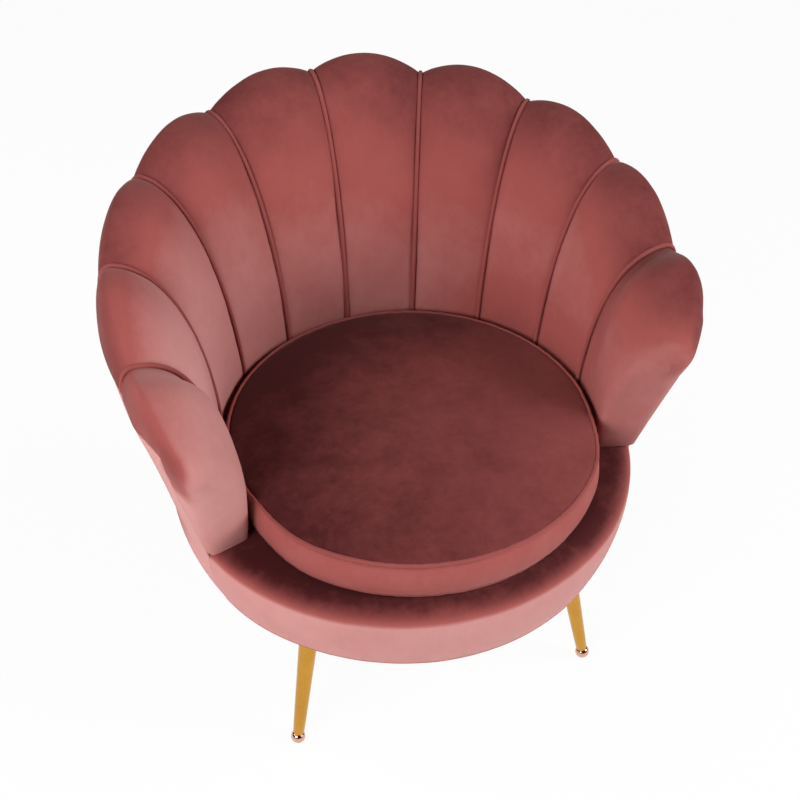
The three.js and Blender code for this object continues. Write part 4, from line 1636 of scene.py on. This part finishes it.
@dataclass
class SeatCushion(SubAssembly):
    """The loose round cushion with its two lines of piping."""

    seam_radius: float = 0.255
    bottom: float = 0.3563
    edge_rise: float = 0.005
    band: float = 0.058
    band_swell: float = 0.002
    crown: float = 0.015
    crown_shares: tuple[float, ...] = (0.985, 0.95, 0.9, 0.82, 0.72, 0.6, 0.45, 0.3, 0.15, 0.0)
    flat_radii: tuple[float, ...] = (0.0, 0.1, 0.205)
    underside_turn: tuple[float, float] = (0.02, 0.002)
    slack: float = 0.002
    front_bulge: float = 0.005
    front_reach: float = 0.009
    front_angles: tuple[float, float] = (104, 130)
    band_nap: float = 0.02
    # Painted shade on the top, deeper at the left in the left arm's shadow and at the back, and painted
    # light on the right.
    top_shade: float = 0.78
    left_shadow: float = 0.34
    back_shade: float = 0.32
    right_light: float = 0.2
    piping_radius: float = 0.0026
    piping_sides: int = 14
    piping_seat_share: float = 0.6
    filling: Filling = Filling()

    @property
    def lower(self) -> float:
        """Returns the height of the lower seam."""
        return self.bottom + self.edge_rise

    @property
    def upper(self) -> float:
        """Returns the height of the upper seam."""
        return self.lower + self.band

    def profile(self) -> Outline:
        """Draws the slack cover from the middle of its underside to its crown.

        Returns:
            The outline.
        """
        edge = self.seam_radius - self.slack
        inward, rise = self.underside_turn
        points = [(radius, self.bottom) for radius in self.flat_radii]
        points.append((edge - inward, self.bottom + rise))
        for share in shares(10):
            out = edge + self.band_swell * math.sin(share * math.pi)
            points.append((out, mix(self.lower, self.upper, share)))
        for share in self.crown_shares:
            points.append((edge * share, self.upper + self.crown * math.sqrt(1 - share**3)))
        return points

    def held(self, spot: Vector) -> float:
        """Returns how firmly the seams and the underside hold a point.

        Args:
            spot: The point.

        Returns:
            The hold, 0 to 1.
        """
        across = math.hypot(spot.x, spot.y - self.form.plan.seat_y)
        near = min(abs(spot.z - self.lower), abs(spot.z - self.lower - self.band))
        at_edge = smooth(across, self.seam_radius - 0.014, self.seam_radius - 0.006)
        sewn = at_edge * (1 - smooth(near, 0.003, 0.010))
        return max(sewn, 1 - smooth(spot.z, self.bottom + 0.0005, self.bottom + 0.004))

    def nap_and_light_at(self, spot: Vector, out: float) -> float:
        """Returns how far the pile is laid with painted shade: most on the top, deeper at the left in the
        left arm's shadow and at the back, lighter on the right.

        Args:
            spot: The point.
            out: Its distance from the cushion's axis.

        Returns:
            The lay with its painted shade and light.
        """
        above = spot.z - self.upper + self.seam_radius - out
        shaded = self.left_shadow * smooth(-spot.x, -0.12, 0.24) + self.back_shade * smooth(spot.y, -0.02, 0.15)
        on_top = self.top_shade + shaded - self.right_light * smooth(spot.x, 0.05, 0.24)
        return mix(self.band_nap, on_top, smooth(above, -0.004, 0.004))

    def filled(self) -> Shape:
        """Fills the cushion and makes its top slightly uneven.

        Returns:
            The cushion's bmesh.
        """
        seat_y = self.form.plan.seat_y
        bm = spun(self.profile(), seat_y, 144)
        bm = self.filling.blown(bm, self.held)
        nap = bm.verts.layers.float.new("nap")
        for vertex in bm.verts:
            spot = vertex.co
            out = Vector((spot.x, spot.y - seat_y, 0))
            across = out.length / self.seam_radius
            vertex[nap] = self.nap_and_light_at(spot, out.length)
            forward = smooth(math.degrees(abs(math.atan2(out.x, out.y))), *self.front_angles)
            spot += out.normalized() * self.front_reach * forward * smooth(across, 0.4, 1.0)
            if spot.z > self.upper - 0.002 and across < 0.97:
                spot.z += lumps(spot, (9, 0.0026), (34, 0.0005)) * smooth(1 - across, 0.03, 0.3)
            elif across > 0.9 and self.lower < spot.z < self.upper:
                swell = math.sin(math.pi * (spot.z - self.lower) / self.band) ** 0.8
                spot += out.normalized() * swell * (self.front_bulge * forward + lumps(spot, (12, 0.0012)))
            spot.z = max(spot.z, self.bottom)
        return bm

    def ring(self, height: float, cover: BVHTree) -> Shape:
        """Spins the round section of a piping and lays the ring on the cover.

        Args:
            height: The height of the seam that it covers.
            cover: The surface of the filled cushion.

        Returns:
            The ring's bmesh.
        """
        bm = bmesh.new()
        centre = Vector((0, self.form.plan.seat_y, 0))
        made = bmesh.ops.create_circle(bm, cap_ends=False, segments=self.piping_sides,
                                       radius=self.piping_radius,
                                       matrix=Matrix.Translation((self.seam_radius, centre.y, height))
                                       @ Matrix.Rotation(math.pi / 2, 4, "X"))
        edges = list({edge for vertex in made["verts"] for edge in vertex.link_edges})
        bmesh.ops.spin(bm, geom=made["verts"] + edges, cent=centre, axis=(0, 0, 1), angle=2 * math.pi,
                       steps=220, use_merge=True)
        for vertex in bm.verts:
            out = Vector((vertex.co.x, vertex.co.y - centre.y, 0)).normalized()
            found = cover.ray_cast(Vector((0, centre.y, height)) + out * 0.4, -out)[0]
            surface = math.hypot(found.x, found.y - centre.y) if found else self.seam_radius
            seated = surface + self.piping_radius * self.piping_seat_share
            vertex.co += out * (seated - self.seam_radius)
        bmesh.ops.recalc_face_normals(bm, faces=bm.faces)
        return bm

    def build(self) -> None:
        """Makes the cushion and its piping."""
        bm = self.filled()
        tree = BVHTree.FromBMesh(bm)
        cushion = self.piece("seat_cushion", bm, Finish.SEAT_VELVET, "cushion_cover", "cushion_foam",
                             body="cushion")
        even = cushion.modifiers.new("even", "SUBSURF")
        even.levels = even.render_levels = 1
        for name, height in (("lower", self.lower), ("upper", self.upper)):
            self.piece(f"cushion_piping_{name}", self.ring(height, tree), Finish.PIPING,
                       f"cushion_welt_{name}", body="cushion")


@dataclass
class Legs(SubAssembly):
    """Four slanted gold legs on ball feet, each on its plate under the seat."""

    tip_radius: float = 0.008
    top_radius: float = 0.015
    ball: float = 0.0105
    flat: float = 0.0007
    joint_gap: float = 0.0003
    tip_turn: tuple[tuple[float, float], ...] = ((0.0012, 0.0), (0.0003, 0.0004), (0.0, 0.0012))
    stem: float = 0.0040
    stem_length: float = 0.022
    thread_depth: float = 0.0003

    def axis(self, corner: str) -> tuple[Vector, Vector]:
        """Reads a leg's axis from the frame.

        Args:
            corner: The leg's corner.

        Returns:
            The ball foot's middle and the direction up the leg.
        """
        low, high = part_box(f"glide_{corner}")
        stud_low, stud_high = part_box(f"leg_stud_{corner}")
        x, y = (high[side] - self.ball if low[side] > 0 else low[side] + self.ball for side in (0, 1))
        foot = Vector((x, y, self.ball - self.flat))
        top = Vector(((stud_low[0] + stud_high[0]) / 2, (stud_low[1] + stud_high[1]) / 2, stud_low[2]))
        return foot, (top - foot).normalized()

    def stood(self, profile: Outline, steps: int, corner: str) -> Shape:
        """Spins a profile and stands it on a leg's axis.

        Args:
            profile: The outline about the leg's axis, its heights from the ball's middle.
            steps: How many steps the turn has.
            corner: The leg's corner.

        Returns:
            The shape in its place.
        """
        bm = spun(profile, 0.0, steps)
        foot, up = self.axis(corner)
        turn = Vector((0, 0, 1)).rotation_difference(up).to_matrix().to_4x4()
        bmesh.ops.transform(bm, matrix=Matrix.Translation(foot) @ turn, verts=bm.verts)
        return bm

    @staticmethod
    def levelled(bm: Shape, height: float, up: int) -> Shape:
        """Cuts a shape off level and closes it.

        Args:
            bm: The shape.
            height: The height of the cut.
            up: 1 to take off what is above it, -1 what is below it.

        Returns:
            The same shape.
        """
        bmesh.ops.bisect_plane(bm, geom=bm.verts[:] + bm.edges[:] + bm.faces[:], plane_co=(0, 0, height),
                               plane_no=(0, 0, up), clear_outer=True)
        bmesh.ops.holes_fill(bm, edges=[edge for edge in bm.edges if edge.is_boundary], sides=0)
        return bm

    def leg(self, corner: str) -> Shape:
        """Turns the tapered leg with its soft lower edge, cut level under its plate.

        Args:
            corner: The leg's corner.

        Returns:
            The leg's bmesh in its place.
        """
        start = math.sqrt(self.ball**2 - self.tip_radius**2) + self.joint_gap
        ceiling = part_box(f"leg_{corner}")[1][2]
        slope = (self.top_radius - self.tip_radius) / ceiling
        length = ceiling * 1.2
        profile = [(0, start)]
        profile += [(self.tip_radius - inward, start + rise) for inward, rise in self.tip_turn]
        base = start + self.tip_turn[-1][1]
        for share in shares(12)[1:]:
            rise = base + length * share
            profile.append((self.tip_radius + slope * rise, rise))
        profile.append((0, base + length))
        return self.levelled(self.stood(profile, 64, corner), ceiling, 1)

    def foot(self, corner: str) -> Shape:
        """Turns the polished ball foot with its short threaded stem, flat underneath.

        Args:
            corner: The leg's corner.

        Returns:
            The foot's bmesh in its place.
        """
        seat = math.sqrt(self.ball**2 - self.tip_radius**2)
        start = math.asin(seat / self.ball)
        profile = [(0, -self.ball)]
        for share in shares(24)[1:]:
            turn = mix(-math.pi / 2, start, share)
            profile.append((self.ball * math.cos(turn), self.ball * math.sin(turn)))
        profile.append((self.stem, seat + 0.0001))
        for index, share in enumerate(shares(20)[1:], 1):
            ridge = self.thread_depth if index % 2 else 0.0
            profile.append((self.stem - ridge, seat + self.stem_length * share))
        profile.append((0, seat + self.stem_length))
        return self.levelled(self.stood(profile, 48, corner), 0.0, -1)

    def build(self) -> None:
        """Makes the legs and feet and dresses the plates and studs."""
        for corner in ("front_left", "front_right", "rear_left", "rear_right"):
            self.piece(f"gold_leg_{corner}", self.leg(corner), Finish.GOLD, f"leg_{corner}")
            self.piece(f"ball_foot_{corner}", self.foot(corner), Finish.ROSE, f"glide_{corner}",
                       body=f"foot_{corner}")
            for solid in ("plate", "stud"):
                self.wardrobe.dress_node(f"leg_{solid}_{corner}", Finish.STEEL)


@dataclass(frozen=True)
class Lamp:
    """A square soft light that faces a target, its size in metres and its power in watts."""

    name: str
    place: tuple[float, float, float]
    target: tuple[float, float, float]
    size: float
    power: float

    def build(self) -> None:
        """Adds the light to the scene."""
        data = bpy.data.lights.new(self.name, "AREA")
        data.shape = "SQUARE"
        data.size = self.size
        data.energy = self.power
        light = bpy.data.objects.new(self.name, data)
        light.location = self.place
        light.rotation_mode = "QUATERNION"
        light.rotation_quaternion = (Vector(self.target) - Vector(self.place)).to_track_quat("-Z", "Y")
        bpy.context.scene.collection.objects.link(light)


@dataclass
class Studio:
    """A pale floor, soft lights and the camera at the photograph's angle."""

    camera_at: tuple[float, float, float] = (-0.6000, -1.5964, 1.9284)
    azimuth: float = -20.934
    elevation: float = 41.695
    roll: float = 0.5
    lens: float = 72.186
    front: float = 1.0
    behind: float = 0.35
    zenith: float = 0.4
    floor_half: float = 12
    floor_drop: float = 0.0005
    floor_glow: float = 0.95
    lamps: tuple[Lamp, ...] = (
        Lamp("right", (2.6, -1.5, 2.1), (0, 0, 0.45), 1.8, 104),
        Lamp("left", (-2.5, -1.9, 1.9), (0, 0, 0.45), 1.8, 96),
        Lamp("rear", (-1.9, 0.9, 2.6), (-0.1, 0, 0.5), 1.6, 29),
    )

    def floor(self) -> None:
        """Makes the pale floor, white where nothing shades it."""
        bm = bmesh.new()
        bmesh.ops.create_grid(bm, x_segments=1, y_segments=1, size=self.floor_half)
        mesh = bpy.data.meshes.new("studio_floor")
        bm.to_mesh(mesh)
        bm.free()
        floor = bpy.data.objects.new("studio_floor", mesh)
        floor.location.z = -self.floor_drop
        bpy.context.scene.collection.objects.link(floor)
        bench = Bench("studio_floor")
        bench.set(Base_Color=(0.92, 0.92, 0.92, 1), Roughness=0.9, Specular_IOR_Level=0.1)
        path = bench.node("ShaderNodeLightPath")
        rays = [Wire(bench, path.outputs[f"Is {kind} Ray"]) for kind in ("Camera", "Glossy", "Transmission")]
        glow = bench.node("ShaderNodeEmission", None, {"Color": (1, 1, 1, 1), "Strength": 1.0})
        joined = bench.node("ShaderNodeMixShader", None, {
            0: (rays[0] + rays[1] + rays[2]).held() * self.floor_glow,
            1: bench.shader.outputs[0], 2: glow.outputs[0]})
        bench.tree.links.new(joined.outputs[0], bench.tree.nodes["Material Output"].inputs["Surface"])
        mesh.materials.append(bench.material)

    def world(self) -> None:
        """Lights the room from a pale world, brighter in front than behind and dimmer overhead."""
        world = bpy.data.worlds.new("studio_world")
        bpy.context.scene.world = world
        world.use_nodes = True
        tree = world.node_tree
        place, split, light, rise, fore = (tree.nodes.new(f"ShaderNode{kind}") for kind in (
            "TexCoord", "SeparateXYZ", "Math", "MapRange", "MapRange"))
        for node, values in ((rise, (0.0, 0.6, 1.0, self.zenith)),
                             (fore, (-0.6, 0.6, self.front, self.behind))):
            for socket, value in zip(("From Min", "From Max", "To Min", "To Max"), values):
                node.inputs[socket].default_value = value
        light.operation = "MULTIPLY"
        for output, socket in (
                (place.outputs["Generated"], split.inputs[0]),
                (split.outputs["Z"], rise.inputs["Value"]),
                (split.outputs["Y"], fore.inputs["Value"]),
                (rise.outputs[0], light.inputs[0]),
                (fore.outputs[0], light.inputs[1]),
                (light.outputs[0], tree.nodes["Background"].inputs["Strength"])):
            tree.links.new(output, socket)

    def camera(self) -> None:
        """Stands the camera where the photograph was taken from."""
        data = bpy.data.cameras.new("camera")
        data.lens = self.lens
        data.sensor_width = 36
        camera = bpy.data.objects.new("camera", data)
        camera.location = self.camera_at
        turn = (Matrix.Rotation(math.radians(self.azimuth), 3, "Z")
                @ Matrix.Rotation(math.radians(90 - self.elevation), 3, "X")
                @ Matrix.Rotation(math.radians(self.roll), 3, "Z"))
        camera.rotation_euler = turn.to_euler()
        bpy.context.scene.collection.objects.link(camera)
        bpy.context.scene.camera = camera

    def build(self) -> None:
        """Sets the studio up."""
        self.camera()
        self.floor()
        self.world()
        for lamp in self.lamps:
            lamp.build()
        bpy.context.scene.view_settings.view_transform = "Standard"


def main() -> None:
    """Builds the studio and every piece of the chair in order."""
    logging.basicConfig(level=logging.INFO, format="%(message)s")
    Studio().build()
    wardrobe = Wardrobe()
    form = ShellForm(SeatPlan.of_frame())
    for part in (SeatBase, PetalBack, SeatCushion, Legs):
        part(form, wardrobe).build()


if __name__ == "__main__":
    main()
